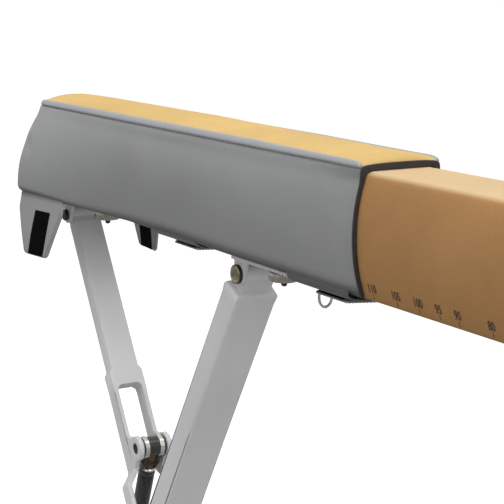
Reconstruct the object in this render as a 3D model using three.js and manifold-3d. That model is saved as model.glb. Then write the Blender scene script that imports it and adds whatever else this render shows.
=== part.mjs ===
// Height-adjustable balance beam: a suede-covered beam on two X-scissor
// supports, with a padded cover over the left end.
// Millimetres. X along the beam, Y across it (front is -Y), Z up, floor at Z = 0.
// X = 0 is the beam's middle. Supports are drawn on the left and mirrored to the right.
import * as THREE from "three";
import { mergeVertices } from "three/addons/utils/BufferGeometryUtils.js";
import Module from "manifold-3d";

const wasm = await Module();
wasm.setup();

// ---- driving dimensions -------------------------------------------------------
const GAP = 0.3; // clearance between neighbouring parts, and round every pin

const BEAM_LENGTH = 5000;
const BEAM_HEIGHT = 160;
const BEAM_FLAT_HALF = 50; // half width at top and bottom
const BEAM_BULGE_HALF = 65; // half width at mid height
const BEAM_TOP = 1250; // height of the top surface above the floor
const BEAM_CORNER = 9;
const MIN_CORNER = 1.5; // smallest corner of the inset outlines
const COVER_THICKNESS = 12; // foam and suede
const CORE_WALL = 3;
const CAP_THICKNESS = 4;

const RAIL_WIDTH = 40;
const RAIL_THICKNESS = 2.7;
const RAIL_START = 2490; // outer end, measured from the beam's middle
const RAIL_END = 1240;

const LEG_LENGTH = 1190; // pivot to pivot
const PIVOT_DROP = 30; // top pivots below the beam
const FOOT_PIVOT_Z = 45;
const FIXED_X = -2475; // the left support's fixed pivot

const BEAM_HALF = BEAM_LENGTH / 2;
const BEAM_BOTTOM = BEAM_TOP - BEAM_HEIGHT;
const BEAM_MID_Z = BEAM_BOTTOM + BEAM_HEIGHT / 2;
const PIVOT_Z = BEAM_BOTTOM - PIVOT_DROP;
const SPREAD = Math.sqrt(LEG_LENGTH ** 2 - (PIVOT_Z - FOOT_PIVOT_Z) ** 2);
const LEAN = Math.asin(SPREAD / LEG_LENGTH); // of each leg from the vertical
const SLIDE_X = FIXED_X + SPREAD; // the left support's sliding pivot
const CROSS_X = (FIXED_X + SLIDE_X) / 2;
const CROSS_Z = (PIVOT_Z + FOOT_PIVOT_Z) / 2;

// sizes shared by several pieces of a support
const EAR_RADIUS = 15; // bracket ears and the legs' top eyes
const PIN_RADIUS = 8;
const CROSS_PIN_RADIUS = 10;
const SPRING_PIN_RADIUS = 9;
const LOWER_PIN_RADIUS = 6; // gas spring's lower pin
const ROD_EYE_HALF = 13.8; // half length of that pin and of the rod's eye
const FORK_TUBE_Y = 50;
const ARM_THICKNESS = 8;
const ARM_OUTER_UPPER = 30;
const ARM_OUTER_LOWER = 48;
const SPRING_LUG_ALONG = 447; // below the fork leg's top pivot
const SPRING_LUG_OFFSET = 38;
const LOWER_LUG_ALONG = LEG_LENGTH / 2 + 293; // below the cross leg's top pivot
const LOWER_LUG_OFFSET = 38;
const FOOT_TUBE_RADIUS = 21;
const FOOT_SLEEVE = 30;

// ---- shape helpers ------------------------------------------------------------
const MERGE_TOLERANCE = 1e-4;

function solid(geometry) {
  const bare = geometry.clone();
  bare.deleteAttribute("normal");
  bare.deleteAttribute("uv");
  const merged = mergeVertices(bare, MERGE_TOLERANCE);
  return new wasm.Manifold(
    new wasm.Mesh({
      numProp: 3,
      vertProperties: new Float32Array(merged.attributes.position.array),
      triVerts: new Uint32Array(merged.index.array),
    }),
  );
}

// turns a solid about the Y axis, then moves it, and returns its geometry
function placed(shape, x = 0, z = 0, turnY = 0) {
  const mesh = shape.getMesh();
  const geometry = new THREE.BufferGeometry();
  const points = new Float32Array(mesh.vertProperties);
  geometry.setAttribute("position", new THREE.BufferAttribute(points, 3));
  geometry.setIndex(new THREE.BufferAttribute(new Uint32Array(mesh.triVerts), 1));
  geometry.rotateY(turnY);
  geometry.translate(x, 0, z);
  return geometry;
}

function union(...parts) {
  return parts.reduce((a, b) => a.add(b));
}

function boxGeometry(x0, x1, y0, y1, z0, z1) {
  const geometry = new THREE.BoxGeometry(x1 - x0, y1 - y0, z1 - z0);
  geometry.translate((x0 + x1) / 2, (y0 + y1) / 2, (z0 + z1) / 2);
  return geometry;
}
const box = (...limits) => solid(boxGeometry(...limits));
// a box centred on the Z axis
const column = (halfX, halfY, z0, z1) => box(-halfX, halfX, -halfY, halfY, z0, z1);

function rodX(radius, x0, x1, z) {
  const geometry = new THREE.CylinderGeometry(radius, radius, x1 - x0, 8);
  geometry.rotateZ(Math.PI / 2);
  geometry.translate((x0 + x1) / 2, 0, z);
  return solid(geometry);
}
function rodY(radius, y0, y1, x = 0, z = 0, sides = 16) {
  const geometry = new THREE.CylinderGeometry(radius, radius, y1 - y0, sides);
  geometry.translate(x, (y0 + y1) / 2, z);
  return solid(geometry);
}
function rodZ(radius, z0, z1, x = 0, sides = 16) {
  const geometry = new THREE.CylinderGeometry(radius, radius, z1 - z0, sides);
  geometry.rotateX(Math.PI / 2);
  geometry.translate(x, 0, (z0 + z1) / 2);
  return solid(geometry);
}
// cutter for a hole along Y
function boreY(radius, x, z, sides = 16, half = 60) {
  return rodY(radius, -half, half, x, z, sides);
}
// Y limits of a part between two distances from the middle; side is -1 (front) or 1 (rear)
function span(side, inner, outer) {
  return side > 0 ? [inner, outer] : [-outer, -inner];
}

// outlines are lists of [across, up] points
function mirrored(points) {
  return points.map(([across, up]) => [-across, up]).reverse();
}
const withMirror = (points) => [...points, ...mirrored(points)];

function extrude(points, depth, hole, steps = 1) {
  const vectors = (list) => list.map(([a, b]) => new THREE.Vector2(a, b));
  const shape = new THREE.Shape(vectors(points));
  if (hole) shape.holes.push(new THREE.Path(vectors(hole)));
  return new THREE.ExtrudeGeometry(shape, { depth, steps, bevelEnabled: false });
}
// points are (y, z); the shape runs from x0 to x1; returns a geometry
function alongX(points, x0, x1, hole, steps) {
  const geometry = extrude(points, x1 - x0, hole, steps);
  return geometry.applyMatrix4(
    new THREE.Matrix4().set(0, 0, 1, x0, 1, 0, 0, 0, 0, 1, 0, 0, 0, 0, 0, 1),
  );
}
// points are (x, z); the shape runs from y0 to y1; returns a solid
function alongY(points, y0, y1) {
  const geometry = extrude(points, y1 - y0);
  geometry.rotateX(Math.PI / 2);
  geometry.translate(0, y1, 0);
  return solid(geometry);
}
// points are (x, y); the shape runs from z0 to z1; returns a solid
function alongZ(points, z0, z1) {
  const geometry = extrude(points, z1 - z0);
  geometry.translate(0, 0, z0);
  return solid(geometry);
}

function arc(centreX, centreY, radius, from, to, steps) {
  const points = [];
  for (let i = 0; i <= steps; i++) {
    const angle = from + ((to - from) * i) / steps;
    points.push([centreX + radius * Math.cos(angle), centreY + radius * Math.sin(angle)]);
  }
  return points;
}

// mirrors an indexed geometry and turns its faces the right way out again
function flip(geometry, scaleX, scaleY) {
  const flipped = geometry.clone();
  flipped.scale(scaleX, scaleY, 1);
  const index = flipped.index.array;
  for (let i = 0; i < index.length; i += 3) {
    [index[i], index[i + 1]] = [index[i + 1], index[i]];
  }
  return flipped;
}

// ---- materials ----------------------------------------------------------------
const paint = { color: 0xb4b4b3, roughness: 0.45, metalness: 0.25 };
const steel = { color: 0xa9a59a, roughness: 0.35, metalness: 0.9 };
const darkSteel = { color: 0x4a4a4c, roughness: 0.5, metalness: 0.6 };
const aluminium = { color: 0xc9cbcc, roughness: 0.4, metalness: 0.85 };
const rubber = { color: 0x26262a, roughness: 0.9, metalness: 0 };
const suede = { color: 0xa87c4e, roughness: 0.95, metalness: 0 };
const black = { color: 0x1c1c1b, roughness: 0.35, metalness: 0.3 };
const greyCloth = { color: 0x858784, roughness: 0.7, metalness: 0 };
const yellow = { color: 0xe6c78a, roughness: 0.75, metalness: 0 };
const brown = { color: 0x2a1f1c, roughness: 0.85, metalness: 0 };

const model = new THREE.Group();
model.name = "balance_beam";

function add(name, geometry, look) {
  const indexed = geometry.index ? geometry : mergeVertices(geometry);
  indexed.computeVertexNormals();
  const mesh = new THREE.Mesh(indexed, new THREE.MeshStandardMaterial(look));
  mesh.name = name;
  model.add(mesh);
}
// the right support is the left one's mirror image
function addBoth(name, geometry, look) {
  add(`${name}_left`, geometry, look);
  add(`${name}_right`, flip(geometry, -1, 1), look);
}

// ---- beam ---------------------------------------------------------------------
const BULGE_RISE = BEAM_BULGE_HALF - BEAM_FLAT_HALF;
const SIDE_RADIUS = ((BEAM_HEIGHT / 2) ** 2 + BULGE_RISE ** 2) / (2 * BULGE_RISE);

// half width of the beam at height z, moved in by inset
function sideY(z, inset = 0) {
  const rise = Math.sqrt((SIDE_RADIUS - inset) ** 2 - (z - BEAM_MID_Z) ** 2);
  return BEAM_BULGE_HALF - SIDE_RADIUS + rise;
}

// three points inside a quadratic curve, for a rounded corner
function bend(start, corner, end) {
  const blend = (t, k) =>
    (1 - t) ** 2 * start[k] + 2 * t * (1 - t) * corner[k] + t * t * end[k];
  return [0.25, 0.5, 0.75].map((t) => [blend(t, 0), blend(t, 1)]);
}

// the beam's cross-section, moved in by inset
function beamOutline(inset, steps = 6) {
  const top = BEAM_TOP - inset;
  const low = BEAM_BOTTOM + inset;
  const corner = Math.max(BEAM_CORNER - inset, MIN_CORNER);
  const y = (z) => sideY(z, inset);
  const lowStart = [y(low) - corner, low];
  const topEnd = [y(top) - corner, top];
  const half = [lowStart, ...bend(lowStart, [y(low), low], [y(low + corner), low + corner])];
  for (let i = 0; i <= steps; i++) {
    const z = low + corner + ((top - low - 2 * corner) * i) / steps;
    half.push([y(z), z]);
  }
  half.push(...bend([y(top - corner), top - corner], [y(top), top], topEnd), topEnd);
  return withMirror(half);
}

function addBeam() {
  const innerEnd = BEAM_HALF - CAP_THICKNESS - GAP;
  const outer = beamOutline(0, 8);
  const tube = (outline, hole) => alongX(outline, -innerEnd, innerEnd, hole);
  const coreInset = COVER_THICKNESS + GAP;
  add("beam_cover", tube(outer, beamOutline(COVER_THICKNESS)), suede);
  add("beam_core", tube(beamOutline(coreInset), beamOutline(coreInset + CORE_WALL)), aluminium);
  add("beam_end_cap_left", alongX(outer, -BEAM_HALF, -BEAM_HALF + CAP_THICKNESS), suede);
  add("beam_end_cap_right", alongX(outer, BEAM_HALF - CAP_THICKNESS, BEAM_HALF), suede);
}

function rail() {
  const half = RAIL_WIDTH / 2;
  const top = BEAM_BOTTOM - GAP;
  return boxGeometry(-RAIL_START, -RAIL_END, -half, half, top - RAIL_THICKNESS, top);
}
addBeam();
addBoth("rail", rail(), aluminium);

// ---- brackets, with X measured inward from the pivot ----------------------------
const PLATE_THICKNESS = 5.5;
const PLATE_HALF = 36.5;
const PLATE_BACK = 12; // plate behind the pivot
const PLATE_CHAMFER = 12;
const FIXED_PLATE_REACH = 150;
const SLIDE_PLATE_REACH = 179;
const FIXED_KNOB_X = 106;
const SLIDE_KNOB_X = 76;
const EAR_INNER = 25.4;
const EAR_THICKNESS = 6;
const BOLT_RADIUS = 4.5;
const BOLT_CLEARANCE = 0.7;
const PLATE_TOP = BEAM_BOTTOM - GAP - RAIL_THICKNESS - GAP;
const PLATE_BOTTOM = PLATE_TOP - PLATE_THICKNESS;
const RING_EYE_X = SLIDE_PLATE_REACH + 4.5;
const RING_EYE_Z = PLATE_BOTTOM - 5;
const RING_EYE_RADIUS = 3.3;

function bracket(reach, knobX) {
  const plate = [
    [-PLATE_BACK, -PLATE_HALF],
    [reach - PLATE_CHAMFER, -PLATE_HALF],
    [reach, -PLATE_HALF + PLATE_CHAMFER],
    [reach, PLATE_HALF - PLATE_CHAMFER],
    [reach - PLATE_CHAMFER, PLATE_HALF],
    [-PLATE_BACK, PLATE_HALF],
  ];
  // an ear hangs from the plate on each side of the leg and carries the pivot
  const ear = [
    [-PLATE_BACK, PLATE_BOTTOM + 1],
    [-PLATE_BACK, PIVOT_Z + 9],
    ...arc(0, PIVOT_Z, EAR_RADIUS, Math.PI * 0.85, Math.PI * 2, 8),
    [EAR_RADIUS + 9, PLATE_BOTTOM + 1],
  ];
  const bolt = BOLT_RADIUS + BOLT_CLEARANCE;
  let body = alongZ(plate, PLATE_BOTTOM, PLATE_TOP);
  for (const side of [-1, 1]) {
    body = body.add(alongY(ear, ...span(side, EAR_INNER, EAR_INNER + EAR_THICKNESS)));
  }
  return body
    .subtract(boreY(PIN_RADIUS + GAP, 0, PIVOT_Z, 18))
    .subtract(rodZ(bolt, PLATE_BOTTOM - 10, PLATE_TOP + 10, knobX, 12));
}

// a small lug at the plate's end has the eye for the wire ring
function slideBracket() {
  const start = SLIDE_PLATE_REACH - 6;
  return bracket(SLIDE_PLATE_REACH, SLIDE_KNOB_X)
    .add(box(start, RING_EYE_X + 5.5, -2.5, 2.5, PLATE_BOTTOM - 10.4, PLATE_BOTTOM + 1))
    .subtract(boreY(RING_EYE_RADIUS, RING_EYE_X, RING_EYE_Z, 14, 8));
}
addBoth("bracket_fixed", placed(bracket(FIXED_PLATE_REACH, FIXED_KNOB_X), FIXED_X), paint);
addBoth("bracket_slide", placed(slideBracket(), SLIDE_X), paint);

// a pin with a head at each end; face is the distance from the middle to each head
function headedPin({ radius, face, frontHead, rearHead, rearThickness }) {
  return union(
    rodY(radius, -face - 1, face + 1),
    rodY(frontHead, -face - 6, -face, 0, 0, 18),
    rodY(rearHead, face, face + rearThickness, 0, 0, 18),
  );
}
function pivotPin(x, frontHead, rearHead) {
  const face = EAR_INNER + EAR_THICKNESS + GAP;
  const pin = headedPin({ radius: PIN_RADIUS, face, frontHead, rearHead, rearThickness: 4 });
  return placed(pin, x, PIVOT_Z);
}
addBoth("pin_fixed", pivotPin(FIXED_X, 10, 10), darkSteel);
addBoth("pin_slide", pivotPin(SLIDE_X, 14, 11), steel);

// ---- knobs and ring -------------------------------------------------------------
const KNOB_RADIUS = 22;
const KNOB_THICKNESS = 16;
const KNOB_RIBS = 15;
const KNOB_RIB_DEPTH = 1.4;
const SLIDE_KNOB_DROP = 4.5; // the slide bracket's knob sits on a washer this thick

function knob(drop) {
  const rim = [];
  for (let i = 0; i < KNOB_RIBS * 2; i++) {
    const angle = (Math.PI * i) / KNOB_RIBS;
    const radius = i % 2 ? KNOB_RADIUS - KNOB_RIB_DEPTH : KNOB_RADIUS;
    rim.push([radius * Math.cos(angle), radius * Math.sin(angle)]);
  }
  const top = PLATE_BOTTOM - GAP - drop;
  const low = top - KNOB_THICKNESS;
  return union(
    alongZ(rim, low, top - 2),
    rodZ(KNOB_RADIUS - 6, top - 3, top, 0, 14),
    rodZ(10, top - 1, PLATE_BOTTOM - GAP, 0, 14), // washer
    rodZ(BOLT_RADIUS, low - 8, PLATE_TOP - 0.2, 0, 10), // bolt
  );
}
addBoth("knob_fixed", placed(knob(0), FIXED_X + FIXED_KNOB_X), steel);
addBoth("knob_slide", placed(knob(SLIDE_KNOB_DROP), SLIDE_X + SLIDE_KNOB_X), steel);

// oval wire ring hanging from the eye at the end of the slide bracket
function ring() {
  const radius = 13.5;
  const wire = 2;
  const narrowing = 0.74;
  const stretch = 1.21;
  const geometry = new THREE.TorusGeometry(radius, wire, 6, 16);
  geometry.scale(narrowing, stretch, 1);
  geometry.rotateX(Math.PI / 2);
  geometry.rotateZ(Math.PI / 2);
  geometry.translate(SLIDE_X + RING_EYE_X, 0, RING_EYE_Z - radius * stretch);
  return placed(solid(geometry));
}
addBoth("ring", ring(), steel);

// ---- fork leg, drawn hanging straight down from its top pivot --------------------
const FORK_HALF_X = 15;
const FORK_HALF_Y = FORK_TUBE_Y / 2;
const FORK_TUBE_WALL = 3;
const CROWN_START = 296;
const CROWN_END = 327;
const JOG_START = 476; // the arms step outward here
const JOG_END = 502;
const SPRING_LUG_RADIUS = 21;
const CROSS_BOSS_RADIUS = 24;
const ARM_INNER_UPPER = ARM_OUTER_UPPER - ARM_THICKNESS;
const ARM_INNER_LOWER = ARM_OUTER_LOWER - ARM_THICKNESS;

function forkTube() {
  const hollowX = FORK_HALF_X - FORK_TUBE_WALL;
  const hollowY = FORK_HALF_Y - FORK_TUBE_WALL;
  return union(
    rodY(EAR_RADIUS, -FORK_HALF_Y, FORK_HALF_Y, 0, 0, 18),
    column(hollowX, FORK_HALF_Y, -24, -4),
    column(FORK_HALF_X, FORK_HALF_Y, -CROWN_START - 2, -18),
  )
    .subtract(column(hollowX, hollowY, -CROWN_START + 8, -28))
    .subtract(rodX(3, -30, -4, -CROWN_START + 16)) // hole into the hollow
    .subtract(boreY(PIN_RADIUS + GAP, 0, 0, 18));
}

// the tube widens into two arms
function forkCrown() {
  const outline = withMirror([
    [-FORK_HALF_Y, -CROWN_START],
    [-ARM_OUTER_UPPER, -CROWN_START - 8],
    [-ARM_OUTER_UPPER, -CROWN_END - 12],
    [-ARM_INNER_UPPER, -CROWN_END - 12],
    [-ARM_INNER_UPPER, -CROWN_END - 5],
    [-ARM_INNER_UPPER + 6, -CROWN_END],
  ]);
  return solid(alongX(outline, -FORK_HALF_X, FORK_HALF_X));
}

function forkArm(side) {
  const strip = [
    [ARM_INNER_UPPER, -CROWN_END - 8],
    [ARM_OUTER_UPPER, -CROWN_END - 8],
    [ARM_OUTER_UPPER, -JOG_START],
    [ARM_OUTER_UPPER + 1.5, -JOG_START - 4],
    [ARM_OUTER_LOWER - 1.5, -JOG_END + 4],
    [ARM_OUTER_LOWER, -JOG_END],
    [ARM_OUTER_LOWER, -LEG_LENGTH + 10],
    [ARM_INNER_LOWER, -LEG_LENGTH + 10],
    [ARM_INNER_LOWER, -JOG_END - 1],
    [ARM_INNER_LOWER - 1.5, -JOG_END + 3],
    [ARM_INNER_UPPER + 1.5, -JOG_START - 5],
    [ARM_INNER_UPPER, -JOG_START - 1],
  ].map(([y, z]) => [side * y, z]);
  // rounded lug for the gas spring
  const sweep = Math.PI * 0.62;
  const lug = [
    [FORK_HALF_X - 2, -SPRING_LUG_ALONG - 30],
    ...arc(SPRING_LUG_OFFSET, -SPRING_LUG_ALONG, SPRING_LUG_RADIUS, -sweep, sweep, 10),
    [FORK_HALF_X - 2, -SPRING_LUG_ALONG + 30],
  ];
  const lower = span(side, ARM_INNER_LOWER, ARM_OUTER_LOWER);
  return [
    solid(alongX(strip, -FORK_HALF_X, FORK_HALF_X)),
    alongY(lug, ...span(side, ARM_INNER_UPPER, ARM_OUTER_UPPER)),
    // boss at the crossing and sleeve round the foot tube
    rodY(CROSS_BOSS_RADIUS, ...lower, 0, -LEG_LENGTH / 2, 18),
    rodY(FOOT_SLEEVE, ...lower, 0, -LEG_LENGTH, 18),
  ];
}

function cutCrossAndFoot(leg) {
  return leg
    .subtract(boreY(CROSS_PIN_RADIUS + GAP, 0, -LEG_LENGTH / 2))
    .subtract(boreY(FOOT_TUBE_RADIUS + GAP, 0, -LEG_LENGTH, 20));
}

function forkLeg() {
  const leg = union(forkTube(), forkCrown(), ...forkArm(-1), ...forkArm(1));
  const springBore = boreY(SPRING_PIN_RADIUS + GAP, SPRING_LUG_OFFSET, -SPRING_LUG_ALONG);
  return cutCrossAndFoot(leg.subtract(springBore));
}
addBoth("fork_leg", placed(forkLeg(), FIXED_X, PIVOT_Z, -LEAN), paint);

// ---- cross leg, drawn hanging straight down from its top pivot --------------------
const CROSS_HALF_X = 21.5;
const CROSS_HALF_Y = 35;
const CROSS_TUBE_WALL = 3;
const LOWER_LUG_RADIUS = 15;
const LOWER_LUG_INNER = 14.2;
const LOWER_LUG_OUTER = 20.2;

function crossTube() {
  const inset = (amount, z0, z1) =>
    column(CROSS_HALF_X - amount, CROSS_HALF_Y - amount, z0, z1);
  return union(
    rodY(EAR_RADIUS, -FORK_HALF_Y, FORK_HALF_Y, 0, 0, 18),
    column(13, FORK_HALF_Y, -34, -4),
    // the tube's closed top has sloping shoulders
    wasm.Manifold.hull([inset(0, -50, -33), inset(2.5, -50, -29.5), inset(6, -50, -28)]),
    inset(0, -LEG_LENGTH + 24, -45),
  ).subtract(inset(CROSS_TUBE_WALL, -LEG_LENGTH + 36, -42));
}

function crossLeg() {
  const lugZ = -LOWER_LUG_ALONG;
  const lug = [
    [-CROSS_HALF_X + 1, lugZ - 24],
    [-CROSS_HALF_X + 1, lugZ + 24],
    ...arc(-LOWER_LUG_OFFSET, lugZ, LOWER_LUG_RADIUS, Math.PI * 0.4, Math.PI * 1.6, 8),
  ];
  // bush through the tube, a hole low in its +X wall, and the foot tube's sleeve
  let leg = crossTube()
    .add(rodY(15.5, -CROSS_HALF_Y + 1, CROSS_HALF_Y - 1, 0, -LEG_LENGTH / 2))
    .subtract(rodX(4, 10, 30, -LEG_LENGTH + 60))
    .add(rodY(FOOT_SLEEVE, -CROSS_HALF_Y, CROSS_HALF_Y, 0, -LEG_LENGTH, 18));
  for (const side of [-1, 1]) {
    const boss = span(side, CROSS_HALF_Y - 1, CROSS_HALF_Y + 4.6);
    const lugBoss = span(side, LOWER_LUG_OUTER - 1.2, LOWER_LUG_OUTER + 3);
    leg = leg
      .add(rodY(22, ...boss, 0, -LEG_LENGTH / 2, 18))
      // two lugs hold the lower end of the gas spring
      .add(alongY(lug, ...span(side, LOWER_LUG_INNER, LOWER_LUG_OUTER)))
      .add(rodY(9, ...lugBoss, -LOWER_LUG_OFFSET, lugZ, 18));
  }
  return cutCrossAndFoot(leg.subtract(boreY(PIN_RADIUS + GAP, 0, 0, 18)));
}
addBoth("cross_leg", placed(crossLeg(), SLIDE_X, PIVOT_Z, LEAN), paint);

const crossPin = headedPin({
  radius: CROSS_PIN_RADIUS,
  face: ARM_OUTER_LOWER + GAP,
  frontHead: 17,
  rearHead: 17,
  rearThickness: 6,
});
addBoth("pin_cross", placed(crossPin, CROSS_X, CROSS_Z), steel);

// ---- gas spring, drawn hanging straight down from its upper pin -------------------
const CYL_RADIUS = 14;
const CYL_START = 45;
const CYL_END = 243;
const BORE_DEPTH = 156;
const ROD_RADIUS = 5;

// place of a point on a leg; side is 1 on the fork leg and -1 on the cross leg
function legPoint(pivotX, side, along, offset) {
  return [
    pivotX + side * (along * Math.sin(LEAN) + offset * Math.cos(LEAN)),
    PIVOT_Z - along * Math.cos(LEAN) + offset * Math.sin(LEAN),
  ];
}
const [upperX, upperZ] = legPoint(FIXED_X, 1, SPRING_LUG_ALONG, SPRING_LUG_OFFSET);
const [lowerX, lowerZ] = legPoint(SLIDE_X, -1, LOWER_LUG_ALONG, LOWER_LUG_OFFSET);
const SPRING_LENGTH = Math.hypot(lowerX - upperX, lowerZ - upperZ);
// turns straight down onto the spring's line
const SPRING_TURN = Math.atan2(upperX - lowerX, upperZ - lowerZ);

function springBarrel() {
  // radius and height, down the outside and up the blind bore, closed on the axis
  const profile = [
    [0, -CYL_START + 8],
    [11, -CYL_START + 8],
    [15.5, -CYL_START + 4],
    [15.5, -CYL_START + 1],
    [CYL_RADIUS, -CYL_START],
    [CYL_RADIUS, -CYL_END + 2],
    [CYL_RADIUS - 2, -CYL_END],
    [ROD_RADIUS + 0.5, -CYL_END],
    [ROD_RADIUS + 0.5, -CYL_END + BORE_DEPTH],
    [0, -CYL_END + BORE_DEPTH],
  ];
  const points = profile.map(([radius, z]) => new THREE.Vector2(radius, z)).reverse();
  const geometry = new THREE.LatheGeometry(points, 18);
  geometry.rotateX(Math.PI / 2);
  return solid(geometry);
}

function springCylinder() {
  const half = ARM_INNER_UPPER - GAP;
  return union(
    rodY(17, -half, half, 0, 0, 18),
    rodY(18.2, ...span(-1, half - 13, half - 4), 0, 0, 18),
    rodY(18.2, ...span(1, half - 13, half - 4), 0, 0, 18),
    column(11, half - 5, -CYL_START + 10, -8),
    column(8, 10, -CYL_START + 4, -10),
    springBarrel(),
  ).subtract(boreY(SPRING_PIN_RADIUS + GAP, 0, 0));
}

function springRod() {
  return union(
    rodZ(ROD_RADIUS, -SPRING_LENGTH + 10, -CYL_END + 12),
    rodZ(8, -SPRING_LENGTH + 8, -SPRING_LENGTH + 20),
    rodY(11.5, -ROD_EYE_HALF, ROD_EYE_HALF, 0, -SPRING_LENGTH),
  ).subtract(boreY(LOWER_PIN_RADIUS + GAP, 0, -SPRING_LENGTH, 16, 40));
}

function plainPin(radius, half, x, z) {
  return placed(rodY(radius, -half, half, x, z));
}
addBoth("spring_cylinder", placed(springCylinder(), upperX, upperZ, SPRING_TURN), black);
addBoth("spring_rod", placed(springRod(), upperX, upperZ, SPRING_TURN), steel);
addBoth(
  "pin_spring_upper",
  plainPin(SPRING_PIN_RADIUS, ARM_OUTER_UPPER - 0.6, upperX, upperZ),
  darkSteel,
);
addBoth("pin_spring_lower", plainPin(LOWER_PIN_RADIUS, ROD_EYE_HALF, lowerX, lowerZ), darkSteel);

// ---- feet ---------------------------------------------------------------------
const FOOT_TUBE_WALL = 3;
const FOOT_TUBE_HALF = 530;
const FOOT_BLOCK_Y = 56;
const FOOT_BLOCK_HALF_X = 38;
const FOOT_BASE_HEIGHT = 10;
const FOOT_DOME_RADIUS = 28;
const FOOT_OUTER = FOOT_TUBE_HALF - 8; // the block's outer face

function footBar() {
  const innerRadius = FOOT_TUBE_RADIUS - FOOT_TUBE_WALL;
  return rodY(FOOT_TUBE_RADIUS, -FOOT_TUBE_HALF, FOOT_TUBE_HALF, 0, FOOT_PIVOT_Z, 18).subtract(
    boreY(innerRadius, 0, FOOT_PIVOT_Z, 18, FOOT_TUBE_HALF + 5),
  );
}

function foot(side) {
  const profile = [
    [-FOOT_BLOCK_HALF_X, 0],
    [FOOT_BLOCK_HALF_X, 0],
    [FOOT_BLOCK_HALF_X, FOOT_BASE_HEIGHT],
    ...arc(0, FOOT_PIVOT_Z, FOOT_DOME_RADIUS, -0.15, Math.PI + 0.15, 8),
    [-FOOT_BLOCK_HALF_X, FOOT_BASE_HEIGHT],
  ];
  return alongY(profile, ...span(side, FOOT_OUTER - FOOT_BLOCK_Y, FOOT_OUTER)).subtract(
    boreY(FOOT_TUBE_RADIUS + GAP, 0, FOOT_PIVOT_Z, 18, 600),
  );
}
for (const [name, x] of [["fork", SLIDE_X], ["cross", FIXED_X]]) {
  addBoth(`foot_bar_${name}`, placed(footBar(), x), paint);
  addBoth(`foot_${name}_front`, placed(foot(-1), x), rubber);
  addBoth(`foot_${name}_rear`, placed(foot(1), x), rubber);
}

// ---- end cover pad --------------------------------------------------------------
const PAD_ON_BEAM = 1000;
const PAD_OVERHANG = 12.5; // it stands this far past the beam's end
const PAD_THICKNESS = 9;
const PAD_GAP = 0.8; // between the side panels and the beam
const PAD_FIT = 0.4; // under the cushion and beside the binding
const PAD_BOTTOM = 1098;
const PAD_HALF = 62;
const CUSHION_INNER_HALF = 50; // half width of the cushion between the side panels
const CUSHION_EDGE = 12; // height of the cushion at its edges
const CUSHION_CROWN = 13; // extra height in the middle
const BINDING = 4;
const SEAM_Z = BEAM_TOP + 5.5; // top seam of the side panels
const PAD_X0 = -BEAM_HALF - PAD_OVERHANG;
const PAD_X1 = -BEAM_HALF + PAD_ON_BEAM;
const PAD_END = PAD_X1 - BINDING - PAD_FIT;

// the panels' open left end stands out by FLARE at FLARE_DEPTH below the seam
const FLARE = 50;
const FLARE_DEPTH = 155;
const FLARE_START_X = -2160;
const FLARE_RUN = 352;
const FLARE_POWER = 1.25;

// stations along a side panel as fractions of its length, closer over the bend
const PANEL_STATIONS = [
  0, 0.04, 0.08, 0.115, 0.15, 0.185, 0.22, 0.25, 0.28, 0.305, 0.33,
  0.35, 0.38, 0.42, 0.48, 0.56, 0.65, 0.74, 0.83, 0.92, 1,
];

const panelInnerY = (z) => sideY(Math.min(Math.max(z, BEAM_BOTTOM), BEAM_TOP)) + PAD_GAP;

// inner and outer faces of the rear panel, each from the bottom up
function panelFaces() {
  const inner = [];
  const outer = [];
  const steps = 7;
  for (let i = 0; i <= steps; i++) {
    const z = PAD_BOTTOM + ((SEAM_Z - PAD_BOTTOM) * i) / steps;
    inner.push([panelInnerY(z), z]);
    outer.push([panelInnerY(z) + PAD_THICKNESS, z]);
  }
  outer[0][0] -= 1.5;
  outer[steps][0] = PAD_HALF - 0.5;
  return { inner, outer };
}

// the panel swings out about its top seam where the left flaps hang open
function flared(y, z, x) {
  const run = Math.min(Math.max((FLARE_START_X - x) / FLARE_RUN, 0), 1);
  const angle = (FLARE / FLARE_DEPTH) * run ** FLARE_POWER;
  const depth = SEAM_Z - z;
  return [
    PAD_HALF + (y - PAD_HALF) * Math.cos(angle) + depth * Math.sin(angle),
    SEAM_Z - depth * Math.cos(angle) + (y - PAD_HALF) * Math.sin(angle),
  ];
}

function rearPanel() {
  const { inner, outer } = panelFaces();
  const steps = PANEL_STATIONS.length - 1;
  const length = PAD_END - PAD_X0;
  const panel = alongX([...inner, ...outer.reverse()], PAD_X0, PAD_END, null, steps);
  const position = panel.attributes.position;
  for (let i = 0; i < position.count; i++) {
    const station = Math.round(((position.getX(i) - PAD_X0) / length) * steps);
    const x = PAD_X0 + PANEL_STATIONS[station] * length;
    const [y, z] = flared(position.getY(i), position.getZ(i), x);
    position.setXYZ(i, x, y, z);
  }
  panel.deleteAttribute("normal");
  panel.deleteAttribute("uv");
  return mergeVertices(panel, MERGE_TOLERANCE);
}

// the cushion's domed top, from front to rear
function cushionCurve() {
  const steps = 12;
  const points = [];
  for (let i = 0; i <= steps; i++) {
    const y = -PAD_HALF + (2 * PAD_HALF * i) / steps;
    const dome = 1 - Math.abs(y / PAD_HALF) ** 2.4;
    points.push([y, BEAM_TOP + CUSHION_EDGE + CUSHION_CROWN * dome]);
  }
  return points;
}

// the cushion lies on the beam and its edges lie over the side panels
function padTop() {
  const frontEdge = [
    [-CUSHION_INNER_HALF, BEAM_TOP + PAD_FIT],
    [-CUSHION_INNER_HALF, SEAM_Z + PAD_FIT],
    [-PAD_HALF, SEAM_Z + PAD_FIT],
  ];
  return alongX([...frontEdge, ...cushionCurve(), ...mirrored(frontEdge)], PAD_X0, PAD_END);
}

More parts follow.
